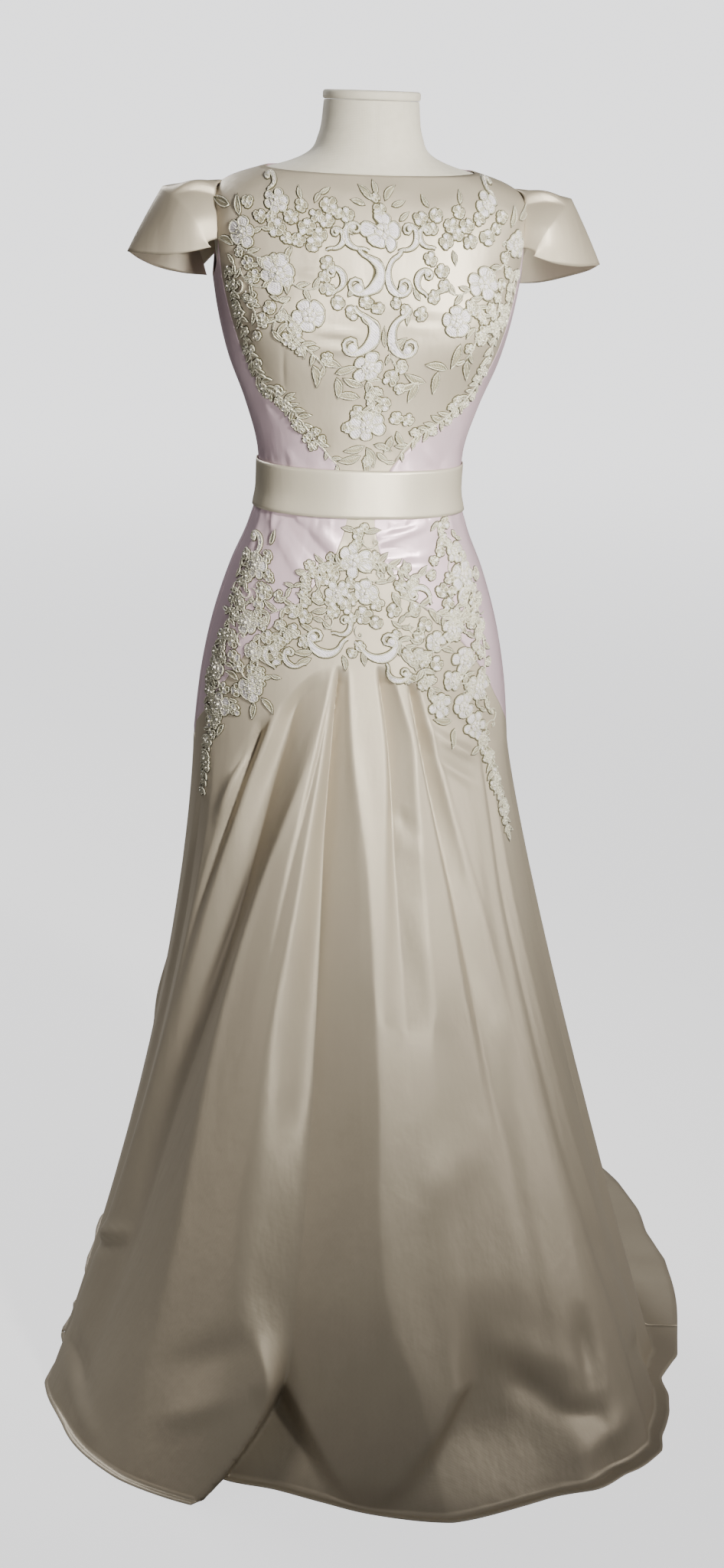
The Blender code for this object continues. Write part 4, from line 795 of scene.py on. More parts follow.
def sleeve(end, side):
    places = np.linspace(0, 1, 97)
    rows = np.linspace(0, 1, len(SLEEVE))
    along = {name: smooth(places, rows, column(SLEEVE, i)) for i, name in enumerate(SLEEVE_COLUMNS)}
    spin = np.radians(along["round"])
    z = ARMHOLE_MIDDLE + ARMHOLE_HALF_HEIGHT * SLEEVE_IN_ARMHOLE * np.sin(spin)
    angle = 90.0 - ARMHOLE_HALF_DEG * SLEEVE_IN_ARMHOLE * np.cos(spin)
    seam = fitted(angle, z, 0.0006)
    crown = np.stack([along["crown_x"], along["crown_y"], along["crown_z"]], axis=-1)
    hem = np.stack([along["hem_x"], along["hem_y"], along["hem_z"]], axis=-1)
    grid = []
    for v in np.linspace(0, 1, 41):
        point = seam + (crown - seam) * v / 0.5 if v <= 0.5 else crown + (hem - crown) * (v - 0.5) / 0.5
        rounded = seam * (1 - v) ** 2 + (2 * crown - (seam + hem) / 2) * 2 * v * (1 - v) + hem * v * v
        off = places - PLEAT_PLACE - 0.03 * v
        pleat = np.where(off < 0, np.exp(-((off / 0.014) ** 2)), np.exp(-((off / 0.095) ** 2)))
        lift = PLEAT_RISE * pleat * math.sin(math.pi * min(1.0, 0.20 + v * 1.6))
        ripple = 0.0015 * np.sin(places * 21.0 + 2.0 * side) * v * v
        corner = (0.30 + 0.55 * ramp(along["round"], 30, 75))[:, None]
        grid.append(corner * point + (1 - corner) * rounded + np.stack([ripple, -0.4 * lift, lift], axis=-1))
    grid = np.array(grid)
    grid[..., 0] *= side
    return sewn(f"sleeve_{end}_cap", grid, CREAM_SATIN, f"sleeve_{end}", (side * 0.19, 0, 1.36),
                ("low",))


# %% [markdown]
# ## Hips, belt and skirt
# Mauve pieces lie under the belt. The cream skirt front starts narrow at the waist, spreads over the
# hips, and opens into its pleats. Behind, two cream backs carry the train, which is swept to one side.

# %% Hips and belt
def hip_front(end, side):
    angles = np.concatenate([np.linspace(5.3, 14.0, 20), np.linspace(14.6, SIDE_SEAM_DEG - 0.03, 74)])[None, :]
    low = np.interp(angles - 0.25, column(SKIRT_EDGE, 0), column(SKIRT_EDGE, 1)) + SEAM_GAP / 2
    up = np.linspace(0, 1, 64)[:, None]
    grid = worn(side * angles + 0 * up, low + (WAIST_SEAM - 0.0003 - low) * up, CLOTH - CLOTH_SHELL)
    return sewn(f"hip_front_{end}_panel", grid, MAUVE_SATIN, f"hip_front_{end}", (0, 0, 1.0),
                ("low", "last"))


def hip_back(end, side):
    share = np.linspace(0, 1, 66)[None, :]
    up = np.linspace(0, 1, 70)[:, None]
    angle = SIDE_SEAM_DEG + (180.0 - SIDE_SEAM_DEG) * share
    low = pleat_line(angle) + SEAM_GAP / 2
    z = low + (WAIST_SEAM - 0.0003 - low) * up
    angle = angle + 0.03 * (1 - share) - gap_deg(z) * share
    grid = worn(side * angle, z, CLOTH - CLOTH_SHELL)
    return sewn(f"hip_back_{end}_panel", grid, MAUVE_SATIN, f"hip_back_{end}", (0, 0, 1.0),
                ("low", "first", "last"))


def belt():
    angle = np.linspace(-180.0, 180.0, 241)[None, :]
    up = np.linspace(0, 1, 15)[:, None]
    edge = np.minimum(up, 1 - up) * 2
    rolled = 0.0006 * np.sqrt(np.clip(edge, 0, 0.25) / 0.25)
    slack = 0.0006 * np.sin(np.radians(angle) * 3.0 + 1.0) * np.sin(np.pi * up)
    z = BELT_BOTTOM + (BELT_TOP - BELT_BOTTOM) * up
    grid = fitted(angle + 0 * up, z + 0 * angle, BELT_OUT - 0.0004 + rolled + slack)
    return sewn("belt_sash", grid, BELT_SATIN_PAINTED_HIGHLIGHT, "belt", (0, 0, 1.11),
                thickness=0.0013)


# %% Skirt
def skirt_front():
    sharp = np.concatenate([np.arange(-24.0, 4.0, 0.35), np.arange(4.0, 12.0, 0.4)])
    angles = np.unique(np.round(np.concatenate([np.linspace(-83.98, -24.5, 66), sharp, np.linspace(12.4, 83.98, 84)]), 3))
    up = np.linspace(1, 0, 46)[:-1, None]
    low = pleat_line(angles)[None, :]
    high = np.interp(np.abs(angles), column(SKIRT_EDGE, 0), column(SKIRT_EDGE, 1))[None, :] - SEAM_GAP / 2
    yoke = worn(angles[None, :] + 0 * up, low + (high - low) * up, CLOTH - CLOTH_SHELL)
    shares = np.concatenate([np.linspace(0, 0.16, 34), np.linspace(0.167, 0.80, 74), np.linspace(0.807, 1, 34)])
    below = skirt(angles[None, :], shares[:, None], CLOTH - CLOTH_SHELL)
    grid = np.concatenate([yoke, below])
    return sewn("skirt_front_panel", grid, CREAM_SATIN, "skirt_front", (0, 0.05, 0.5),
                ("low",))


def skirt_back(end, side):
    angles = side * np.linspace(SIDE_SEAM_DEG + 0.02, 179.99, 140)
    shares = np.linspace(0, 1, 112)
    grid = skirt(angles[None, :], shares[:, None], CLOTH - CLOTH_SHELL)
    grid[0, :, 2] -= 0.0012
    return sewn(f"skirt_back_{end}_panel", grid, CREAM_SATIN, f"skirt_back_{end}", (0, 0.05, 0.5),
                ("low", "last"))


# %% [markdown]
# ## Corded lace
# The lace has no net left: each motif is cut out and sewn down by itself. A petal or leaf is a pad of
# rayon thread, edged with a thin cord, and most flowers have a bead in the middle. Round each pad and
# scroll lies a narrow dark rim, a painted shadow of the motif on the cloth. We draw each motif flat, in
# millimetres, then lay all its points on the cloth at once, so it bends as the cloth does.

# %% Motifs drawn flat
CORD_RADIUS = 0.85
PETAL_POINTS = 12
# Width of the dark rim painted round each pad and scroll as its shadow on the cloth
SHADOW_RIM_WIDTH = 2.0


class Drawing:
    """Points (across, height, rise in mm), faces and the material of each face."""

    def __init__(self):
        self.points, self.faces, self.paints = [], [], []

    def pad(self, outline, rise, paint=0):
        outline = np.asarray(outline, float)
        middle = outline.mean(axis=0)
        start, count = len(self.points), len(outline)
        # The outer rim ring takes the dark rim material (paint 4): a painted shadow round the pad
        rim = outline + unit(outline - middle) * SHADOW_RIM_WIDTH
        for ring, height in ((rim, 0.02), (outline, 0.10), (middle + (outline - middle) * 0.72, rise)):
            self.points += [(*p, height) for p in ring]
        self.points.append((*middle, rise * 1.15))
        for i in range(count):
            j = (i + 1) % count
            for ring in (start, start + count):
                self.faces.append((ring + i, ring + j, ring + count + j, ring + count + i))
            self.faces.append((start + 2 * count + i, start + 2 * count + j, start + 3 * count))
            self.paints += [4, paint, paint]

    def cord(self, line, radius=CORD_RADIUS, closed=False, rise=0.55):
        line = np.asarray(line, float)
        ahead = np.roll(line, -1, axis=0) - np.roll(line, 1, axis=0) if closed else np.gradient(line, axis=0)
        ahead = ahead / np.maximum(np.linalg.norm(ahead, axis=1, keepdims=True), 1e-9)
        side = np.stack([-ahead[:, 1], ahead[:, 0]], axis=1)
        start, count, sides = len(self.points), len(line), 5 if radius > 0.8 else 4
        for i in range(count):
            thin = 1.0 if closed or 0 < i < count - 1 else 0.45
            for k in range(sides):
                a = 2 * math.pi * k / sides + math.pi / 2
                flat = line[i] + side[i] * radius * thin * math.cos(a)
                self.points.append((*flat, rise + radius * thin * math.sin(a)))
        for i in range(count if closed else count - 1):
            j = (i + 1) % count
            for k in range(sides):
                m = (k + 1) % sides
                self.faces.append((start + i * sides + k, start + j * sides + k,
                                   start + j * sides + m, start + i * sides + m))
                self.paints.append(1)
        if not closed:
            self.faces.append(tuple(start + k for k in range(sides)))
            self.faces.append(tuple(start + (count - 1) * sides + k for k in reversed(range(sides))))
            self.paints += [1, 1]

    def bead(self, x, y, radius, rise=0.9):
        start, around, rings = len(self.points), 7, 3
        self.points.append((x, y, rise - radius))
        for ring in range(1, rings + 1):
            tilt = -math.pi / 2 + math.pi * ring / (rings + 1)
            for k in range(around):
                a = 2 * math.pi * k / around
                self.points.append((x + radius * math.cos(tilt) * math.cos(a),
                                    y + radius * math.cos(tilt) * math.sin(a), rise + radius * math.sin(tilt)))
        self.points.append((x, y, rise + radius))
        top = len(self.points) - 1
        for k in range(around):
            m = (k + 1) % around
            self.faces.append((start, start + 1 + m, start + 1 + k))
            for ring in range(rings - 1):
                a = start + 1 + ring * around
                self.faces.append((a + k, a + m, a + around + m, a + around + k))
                self.paints.append(2)
            self.faces.append((start + 1 + (rings - 1) * around + k, start + 1 + (rings - 1) * around + m, top))
            self.paints += [2, 2]


def spun(points, degrees, x=0.0, y=0.0):
    a = math.radians(degrees)
    points = np.asarray(points, float)
    return np.stack([x + points[:, 0] * math.cos(a) - points[:, 1] * math.sin(a),
                     y + points[:, 0] * math.sin(a) + points[:, 1] * math.cos(a)], axis=1)


def egg(long, wide, blunt=0.0, count=PETAL_POINTS):
    """A rounded outline along +x, from 0 to long. Blunt moves its widest place outwards."""
    a = np.arange(count) * 2 * math.pi / count
    x = (1 - np.cos(a)) / 2
    return np.stack([x * long, np.sin(a) * wide / 2 * (1 + blunt * (x - 0.5))], axis=1)


def leaf_outline(long, wide, bend=0.0):
    s = np.linspace(0, 1, 6)
    half = wide / 2 * np.sin(np.pi * s**0.8) ** 0.85
    upper = np.stack([s * long, half + bend * np.sin(np.pi * s)], axis=1)
    lower = np.stack([s[::-1] * long, -half[::-1] + bend * np.sin(np.pi * s[::-1])], axis=1)[1:-1]
    return np.concatenate([upper, lower])


def draw_flower(d, rng, x, y, size, turn, petals=5):
    """Separate petals round a beaded middle. A bloom has ribs on its petals and an inner ring."""
    reach, big = size / 2, size > 22
    for k in range(petals):
        spin = turn + 360.0 * k / petals + rng.uniform(-13, 13)
        long, wide = reach * 0.80 * rng.uniform(0.74, 1.14), reach * (4.1 / petals) * rng.uniform(0.78, 1.08)
        petal = egg(long, wide, 0.7, 12 if big else 8)
        petal[:, 0] += reach * 0.20
        outline = spun(petal, spin, x, y)
        d.pad(outline, 0.60 if big else 0.45, 0 if big or k % 2 else 3)
        d.cord(outline, CORD_RADIUS * (1.0 if big else 0.85), True)
        if big:
            for vein in (-13, 0, 13):
                rib = [(reach * 0.42, 0), (reach * 0.62, 0), (reach * 0.84, 0)]
                d.cord(spun(rib, spin + vein, x, y), 0.36, False, 0.70)
    if big:
        for k in range(5):
            small = egg(reach * 0.36, reach * 0.34, 0.5, 8)
            outline = spun(small + np.array((reach * 0.05, 0)), turn + 36 + 72 * k, x, y)
            d.pad(outline, 1.2)
            d.cord(outline, CORD_RADIUS * 0.8, True, 1.1)
            a = math.radians(turn + 72 * k)
            d.bead(x + 0.42 * reach * math.cos(a), y + 0.42 * reach * math.sin(a), 0.85, 1.6)
    d.bead(x, y, 1.7 if big else min(1.3, 0.10 * size), 1.9 if big else 1.1)


def draw_leaf(d, rng, x, y, long, turn, wide=0.30):
    shape = leaf_outline(long, long * wide, rng.uniform(-0.10, 0.10) * long)
    outline = spun(shape, turn, x, y)
    d.pad(outline, 0.45, 3)
    d.cord(outline, CORD_RADIUS * 0.85, True)
    d.cord(spun([(0.10 * long, 0), (0.45 * long, 0), (0.82 * long, 0)], turn, x, y), 0.42, False, 0.6)


def curled(size, turn, way, hook=-55.0, arc=130.0, curl=330.0, count=23):
    """A C-shaped scroll line that starts with a small hook and curls in at its end."""
    s = np.linspace(0, 1, count)
    bend = np.where(s < 0.14, hook / 0.14, np.where(s < 0.58, arc / 0.44, curl / 0.42 * 0.35 * (1 + 3.7 * (s - 0.58) / 0.42)))
    heading = np.cumsum(bend) / count
    heading = np.radians(way * (heading - np.interp(0.36, s, heading)) + turn)
    line = np.cumsum(np.stack([np.cos(heading), np.sin(heading)], axis=1) / count, axis=0)
    line -= (line.max(axis=0) + line.min(axis=0)) / 2
    return s, line * size / np.ptp(line, axis=0).max()


def draw_scroll(d, rng, x, y, size, turn, way=1):
    """A filled scroll: it swells along its curve, and curls in to a round knob."""
    s, line = curled(size, turn, way)
    ahead = unit(np.gradient(line, axis=0))
    side = np.stack([-ahead[:, 1], ahead[:, 0]], axis=1)
    half = size * (0.022 + 0.075 * np.exp(-(((s - 0.40) / 0.20) ** 2)))[:, None]
    middle = line + (x, y)
    left, right = middle + side * half, middle - side * half
    start, count = len(d.points), len(s)
    # The two outer bands take the dark rim material (paint 4): a painted shadow round the scroll
    outer = side * SHADOW_RIM_WIDTH
    for row, height in ((left + outer, 0.02), (left, 0.1), (middle, 1.25), (right, 0.1), (right - outer, 0.02)):
        d.points += [(*p, height) for p in row]
    for i in range(count - 1):
        for band, paint in enumerate((4, 0, 0, 4)):
            r = start + band * count
            d.faces.append((r + i, r + i + 1, r + count + i + 1, r + count + i))
            d.paints.append(paint)
    d.cord(left, CORD_RADIUS)
    d.cord(right, CORD_RADIUS)
    knob = egg(0.20 * size, 0.20 * size, 0.0, 9) + middle[-1] - (0.10 * size, 0)
    d.pad(knob, 1.4)
    d.cord(knob, CORD_RADIUS, True, 0.8)
    for i in range(3, 15, 2):
        d.bead(*middle[i], 0.7, 1.5)


def draw_curl(d, rng, x, y, size, turn, way=1):
    """A curl of bare cord, as the stems end in."""
    _, line = curled(size, turn, way, count=13)
    d.cord(line + (x, y), CORD_RADIUS)


def draw_stem(d, line):
    """Two cords side by side along a curve."""
    ahead = unit(np.gradient(line, axis=0))
    side = np.stack([-ahead[:, 1], ahead[:, 0]], axis=1)
    d.cord(line + side * 0.55, 0.5)
    d.cord(line - side * 0.55, 0.5)


def draw_vine(d, rng, ends, kind, pitch, size):
    """A stem along a curve of three points, with what grows on it: leaves, rosettes or both."""
    a, b, c = (np.array(ends[i:i + 2], float) for i in (0, 2, 4))
    long = np.linalg.norm(b - a) + np.linalg.norm(c - b)
    count = max(3, int(long / pitch))
    t = np.linspace(0, 1, count * 2 + 1)[:, None]
    line = a * (1 - t) * (1 - 2 * t) + b * 4 * t * (1 - t) + c * t * (2 * t - 1)
    draw_stem(d, line)
    ahead = np.degrees(np.arctan2(*np.gradient(line, axis=0).T[::-1]))
    for i in range(0, len(line), 2):
        way = 1 if (i // 2) % 2 else -1
        for side in ((way, -way) if kind == "lush" else (way,)):
            lean = ahead[i] + side * rng.uniform(34, 62)
            reach = size * rng.uniform(0.8, 1.15)
            if kind == "leaves" or rng.random() < 0.58:
                draw_leaf(d, rng, *line[i], reach * 1.1, lean, rng.uniform(0.25, 0.35))
            else:
                off = np.array((math.cos(math.radians(lean)), math.sin(math.radians(lean)))) * reach * 0.62
                draw_flower(d, rng, *(line[i] + off), reach * 0.95, rng.uniform(0, 72), rng.choice((4, 5, 5, 6)))
        if kind != "leaves":
            d.bead(*(line[i] + np.array((rng.uniform(-2, 2), rng.uniform(-2, 2)))), 0.8)


def inside(x, y, outline):
    """Whether a point lies in the outline, counted by the edges to its right."""
    hit = False
    for (x1, y1), (x2, y2) in zip(outline, outline[1:] + outline[:1]):
        if (y1 > y) != (y2 > y) and x < x1 + (y - y1) * (x2 - x1) / (y2 - y1):
            hit = not hit
    return hit


def fill_between(d, rng, outline, taken, pitch):
    """Small leaves, rosettes and curls in the spaces that the named motifs leave."""
    xs, ys = zip(*outline)
    y, row = min(ys), 0
    while y < max(ys):
        x = min(xs) + (row % 2) * pitch / 2
        while x < max(xs):
            px, py = x + rng.uniform(-0.22, 0.22) * pitch, y + rng.uniform(-0.22, 0.22) * pitch
            what, turn = rng.random(), rng.uniform(0, 360)
            size = pitch * rng.uniform(0.95, 1.25)
            x += pitch
            if not inside(px, py, outline) or any(math.hypot(px - a, py - b) < 0.40 * c + 0.36 * pitch for a, b, c in taken):
                continue
            if what < 0.42:
                draw_flower(d, rng, px, py, size * 0.95, turn, rng.choice((4, 5, 5)))
            elif what < 0.80:
                for lean in (0, 150):
                    draw_leaf(d, rng, px, py, size * 0.75, turn + lean)
            else:
                draw_curl(d, rng, px, py, size * 0.9, turn, rng.choice((-1, 1)))
        y, row = y + pitch * 0.87, row + 1


print("a petal has", PETAL_POINTS, "points; cords are", 2 * CORD_RADIUS, "mm thick")

# %% [markdown]
# ## Where the motifs lie
# The layout is a common one for bridal lace: a garland under the neckline, paired scrolls down the
# middle, blooms over the bust, and narrow leafy vines that follow the V and the pleat line. Places
# are in millimetres from the dress's middle line and from the floor.

# %% Layout of the lace
MOTIF_COLUMNS = ("kind", "across", "height", "size", "turn")
BODICE_MOTIFS = (
    ("bloom", 0, 1412, 44, 90), ("leaf", -8, 1446, 20, 130), ("leaf", 8, 1446, 20, 50), ("rosette", 0, 1436, 14, 0),
    ("leaf", -2, 1452, 15, 100), ("leaf", 16, 1440, 16, 20), ("leaf", -16, 1440, 15, 160), ("rosette", -4, 1448, 9, 0),
    ("leaf", 24, 1424, 14, 40), ("bloom", -113, 1362, 44, 20), ("bloom", -154, 1406, 34, 10), ("bloom", -79, 1318, 40, 50),
    ("bloom", 125, 1358, 42, -20), ("bloom", 172, 1400, 32, 10), ("bloom", 90, 1316, 38, -50),
    ("scroll", -122, 1461, 19, 90), ("bloom", -115, 1441, 27, 15), ("scroll_r", 138, 1462, 19, 90),
    ("bloom", 129, 1443, 27, 40), ("scroll", -50, 1402, 24, 60), ("scroll_r", -27, 1405, 30, 120),
    ("scroll_r", 56, 1406, 24, 120), ("scroll", 32, 1405, 30, 60), ("scroll_r", -20, 1368, 50, -90),
    ("scroll", 20, 1368, 50, -90), ("scroll", -50, 1356, 30, 90), ("scroll_r", 52, 1356, 30, 90),
    ("scroll_r", -24, 1303, 52, -90), ("scroll", 29, 1302, 52, -90), ("rosette", -133, 1424, 15, 0),
    ("rosette", -114, 1412, 19, 10), ("rosette", -98, 1424, 17, 30), ("rosette", -86, 1437, 14, 0),
    ("rosette", -80, 1414, 19, 15), ("rosette", -67, 1406, 17, 0), ("rosette", -56, 1438, 20, 40),
    ("rosette", -58, 1421, 16, 0), ("rosette", -36, 1428, 17, 20), ("rosette", -90, 1400, 15, 0),
    ("rosette", -74, 1395, 16, 25), ("rosette", -103, 1402, 14, 5), ("rosette", -70, 1426, 15, 45),
    ("rosette", -46, 1430, 13, 0), ("rosette", -120, 1424, 13, 0), ("leaf", -86, 1444, 14, 100),
    ("leaf", -38, 1420, 14, -60), ("leaf", -98, 1392, 16, -110), ("rosette", 49, 1427, 17, 10),
    ("rosette", 67, 1431, 17, 30), ("rosette", 83, 1420, 16, 0), ("rosette", 79, 1403, 17, 40),
    ("rosette", 103, 1420, 18, 0), ("rosette", 107, 1403, 16, 20), ("rosette", 129, 1408, 19, 10),
    ("rosette", 148, 1430, 15, 0), ("rosette", 94, 1435, 14, 15), ("rosette", 92, 1410, 14, 0),
    ("rosette", 118, 1428, 14, 50), ("rosette", 62, 1416, 14, 0), ("rosette", 140, 1418, 13, 20),
    ("leaf", 96, 1444, 14, 90), ("leaf", 58, 1440, 14, 120), ("leaf", 86, 1392, 15, -80), ("rosette", -59, 1375, 15, 0),
    ("rosette", -62, 1361, 13, 20), ("rosette", -59, 1347, 15, 10), ("rosette", -48, 1333, 15, 0),
    ("rosette", -32, 1322, 15, 30), ("rosette", -18, 1334, 13, 0), ("rosette", -7, 1328, 13, 15),
    ("leaf", -36, 1340, 14, 60), ("leaf", -20, 1322, 13, -70), ("rosette", 59, 1383, 15, 0), ("rosette", 73, 1370, 16, 25),
    ("rosette", 75, 1354, 14, 0), ("rosette", 63, 1341, 15, 40), ("rosette", 48, 1322, 15, 0), ("rosette", 17, 1334, 13, 10),
    ("rosette", 30, 1326, 13, 0), ("leaf", 46, 1338, 14, 120), ("leaf", 34, 1322, 12, -100), ("leaf", -170, 1434, 30, 165),
    ("leaf", -157, 1424, 22, 100), ("leaf", -166, 1392, 24, 165), ("leaf", 176, 1428, 30, 35), ("leaf", 162, 1420, 22, 75),
    ("leaf", -64, 1268, 26, -15), ("leaf", -70, 1262, 26, -75), ("leaf", -44, 1254, 24, 20), ("leaf", -42, 1248, 24, -80),
    ("leaf", 96, 1290, 28, -105), ("leaf", 84, 1262, 26, 170), ("leaf", 74, 1258, 26, -95), ("leaf", 60, 1246, 26, 160),
    ("leaf", 52, 1246, 26, -110), ("leaf", 108, 1272, 24, -80), ("bloom", -9, 1262, 34, 10), ("bloom", 0, 1192, 40, 40),
    ("rosette", 20, 1250, 18, 0), ("rosette", 30, 1262, 15, 20), ("rosette", 3, 1232, 17, 0), ("rosette", 16, 1219, 16, 30),
    ("rosette", 32, 1203, 16, 0), ("rosette", 46, 1200, 14, 10), ("rosette", -14, 1208, 16, 0), ("rosette", -22, 1190, 15, 0),
    ("leaf", -12, 1240, 24, 160), ("leaf", -14, 1226, 26, 175), ("leaf", 30, 1238, 22, 20), ("leaf", 6, 1286, 22, 100),
    ("leaf", 12, 1282, 24, 35), ("leaf", 34, 1186, 20, -60), ("leaf", 28, 1180, 20, -110), ("leaf", 8, 1218, 20, -80),
    ("leaf", -2, 1168, 24, 195), ("leaf", 2, 1166, 24, -70), ("leaf", 10, 1170, 20, -20), ("leaf", -6, 1156, 26, 195),
    ("leaf", 4, 1158, 24, -90), ("rosette", 3, 1150, 12, 0), ("leaf", 14, 1160, 16, -40),
)
BODICE_VINES = (
    (-178, 1366, -172, 1340, -168, 1322, "lush", 11, 12), (-168, 1322, -156, 1290, -145, 1262, "lush", 10, 12),
    (-145, 1262, -128, 1236, -100, 1220, "lush", 9, 13), (-100, 1220, -82, 1200, -60, 1174, "lush", 10, 13),
    (-60, 1174, -46, 1160, -32, 1144, "leaves", 9, 10), (178, 1372, 172, 1344, 166, 1322, "lush", 11, 12),
    (166, 1322, 148, 1296, 140, 1262, "lush", 10, 12), (140, 1262, 128, 1234, 106, 1214, "lush", 9, 13),
    (106, 1214, 84, 1196, 62, 1184, "lush", 10, 13), (62, 1184, 48, 1170, 34, 1150, "leaves", 10, 12),
    (-160, 1392, -142, 1382, -124, 1376, "mixed", 10, 13), (160, 1390, 152, 1378, 138, 1370, "mixed", 9, 13),
    (-158, 1366, -150, 1352, -130, 1346, "leaves", 11, 14), (-100, 1356, -84, 1346, -62, 1352, "leaves", 10, 14),
    (106, 1350, 92, 1344, 78, 1350, "leaves", 10, 14), (-100, 1336, -112, 1318, -118, 1300, "leaves", 11, 15),
    (-104, 1318, -100, 1300, -86, 1286, "lush", 9, 13), (-86, 1286, -72, 1276, -58, 1262, "mixed", 9, 13),
    (108, 1340, 124, 1322, 130, 1300, "lush", 10, 12), (112, 1308, 114, 1290, 104, 1272, "mixed", 9, 14),
    (-152, 1340, -140, 1320, -134, 1300, "mixed", 10, 12), (150, 1346, 146, 1326, 138, 1306, "mixed", 10, 12),
    (-6, 1246, 4, 1226, 0, 1210, "lush", 9, 12), (14, 1276, 24, 1262, 26, 1244, "mixed", 9, 12),
)
HIP_MOTIFS = (
    ("bloom", -2, 1034, 42, 30), ("rosette", 0, 1064, 15, 0), ("rosette", 0, 1052, 14, 30), ("leaf", -6, 1068, 16, 170),
    ("leaf", 8, 1066, 16, 10), ("rosette", 6, 1072, 10, 0), ("bloom", -24, 996, 28, 0), ("bloom", 12, 996, 30, 20),
    ("rosette", -6, 1008, 14, 0), ("rosette", -30, 974, 17, 10), ("rosette", -14, 980, 15, 0), ("rosette", 6, 970, 19, 20),
    ("rosette", 22, 984, 15, 0), ("rosette", -34, 986, 14, 40), ("leaf", -38, 976, 18, 190), ("leaf", -40, 984, 16, 170),
    ("rosette", 20, 962, 16, 0), ("rosette", -8, 966, 13, 30), ("scroll_r", -38, 938, 46, 180), ("scroll", -22, 958, 24, 40),
    ("scroll", 18, 934, 48, 0), ("rosette", 0, 934, 13, 0), ("rosette", -10, 926, 12, 20),
    ("leaf", 4, 928, 16, -90), ("leaf", -22, 922, 16, -80), ("scroll_r", -78, 918, 26, 150), ("scroll", 42, 904, 26, -30),
    ("leaf", -58, 926, 22, 185), ("leaf", -60, 918, 20, 205), ("bloom", 130, 1010, 34, 10), ("bloom", 118, 1040, 26, 0),
    ("scroll", 134, 988, 24, 200), ("scroll", 72, 992, 26, 150), ("rosette", 104, 1054, 14, 0), ("rosette", 98, 1042, 14, 20),
    ("rosette", 132, 1032, 15, 0), ("bloom", -130, 1018, 30, 0), ("scroll", -136, 1040, 28, 90), ("rosette", -114, 1030, 15, 0),
    ("rosette", -120, 994, 16, 10), ("rosette", -144, 1004, 16, 0), ("rosette", -110, 1008, 14, 30), ("leaf", -112, 1044, 18, 70),
    ("bloom", 110, 950, 30, 10), ("bloom", 89, 938, 24, 0), ("rosette", 155, 952, 18, 0), ("rosette", 142, 962, 15, 20),
    ("bloom", 126, 914, 34, 30), ("bloom", 110, 890, 24, 0), ("bloom", 148, 878, 34, 10), ("bloom", 126, 858, 32, 50),
    ("bloom", 144, 832, 34, 0), ("bloom", 94, 862, 30, 20), ("rosette", 90, 912, 17, 0), ("rosette", 56, 896, 16, 10),
    ("rosette", 70, 924, 16, 0), ("rosette", 40, 976, 16, 20), ("rosette", 64, 976, 16, 0), ("rosette", 78, 892, 15, 0),
    ("leaf", 80, 880, 18, -60), ("leaf", 108, 842, 24, 170), ("leaf", 112, 832, 22, 250), ("rosette", -80, 972, 17, 0),
    ("rosette", -64, 966, 16, 20), ("rosette", -80, 948, 17, 0), ("rosette", -102, 916, 18, 10), ("rosette", -64, 984, 14, 0),
    ("bloom", -114, 990, 20, 0), ("bloom", -140, 952, 30, 20), ("bloom", -131, 920, 26, 0), ("bloom", -133, 876, 34, 10),
    ("bloom", -186, 892, 28, 0), ("bloom", -176, 850, 30, 30), ("rosette", -112, 938, 16, 0), ("rosette", -96, 934, 15, 0),
    ("rosette", -150, 900, 16, 20), ("leaf", -118, 866, 22, -50), ("leaf", -128, 860, 20, -95), ("leaf", -150, 884, 20, 160),
    ("scroll_r", -108, 916, 26, 100), ("rosette", -160, 928, 17, 0), ("rosette", -170, 870, 15, 10), ("rosette", -196, 862, 15, 0),
)
HIP_VINES = (
    (-10, 1024, -34, 1030, -62, 1016, "lush", 10, 13), (6, 1028, 30, 1030, 60, 1014, "lush", 10, 13),
    (-62, 1016, -66, 1002, -58, 990, "mixed", 9, 13), (60, 1014, 74, 1016, 88, 1024, "mixed", 9, 13),
    (92, 1076, 96, 1062, 104, 1050, "mixed", 8, 11), (40, 996, 66, 984, 92, 972, "leaves", 11, 16),
    (92, 972, 112, 962, 140, 966, "lush", 10, 14), (-58, 984, -84, 976, -110, 966, "leaves", 11, 16),
    (-110, 966, -128, 956, -150, 962, "lush", 10, 14), (-150, 1000, -166, 970, -168, 940, "lush", 11, 13),
    (-168, 940, -180, 924, -190, 900, "lush", 10, 13), (-122, 940, -124, 910, -128, 884, "lush", 11, 13),
    (-188, 900, -196, 872, -194, 846, "lush", 10, 13), (-92, 960, -96, 944, -110, 926, "mixed", 9, 14),
    (36, 944, 56, 930, 72, 906, "lush", 10, 13), (72, 906, 80, 890, 90, 872, "lush", 10, 13),
    (70, 924, 96, 930, 110, 940, "mixed", 10, 14), (140, 962, 152, 940, 140, 922, "lush", 10, 13),
    (120, 902, 132, 892, 140, 880, "lush", 9, 12), (156, 944, 160, 910, 156, 884, "mixed", 10, 13),
    (-150, 858, -164, 850, -178, 842, "mixed", 9, 13), (140, 1000, 132, 980, 120, 962, "lush", 10, 13),
    (-56, 950, -72, 944, -92, 946, "mixed", 9, 14), (-140, 1030, -146, 1014, -150, 1000, "lush", 9, 12),
)
RIGHT_TAIL_MOTIFS = (("rosette", 156, 812, 17, 0), ("rosette", 164, 790, 17, 20), ("rosette", 168, 768, 16, 0),
                     ("rosette", 172, 744, 15, 10), ("rosette", 174, 722, 13, 0), ("leaf", 172, 708, 20, -90),
                     ("leaf", 148, 806, 18, 200))
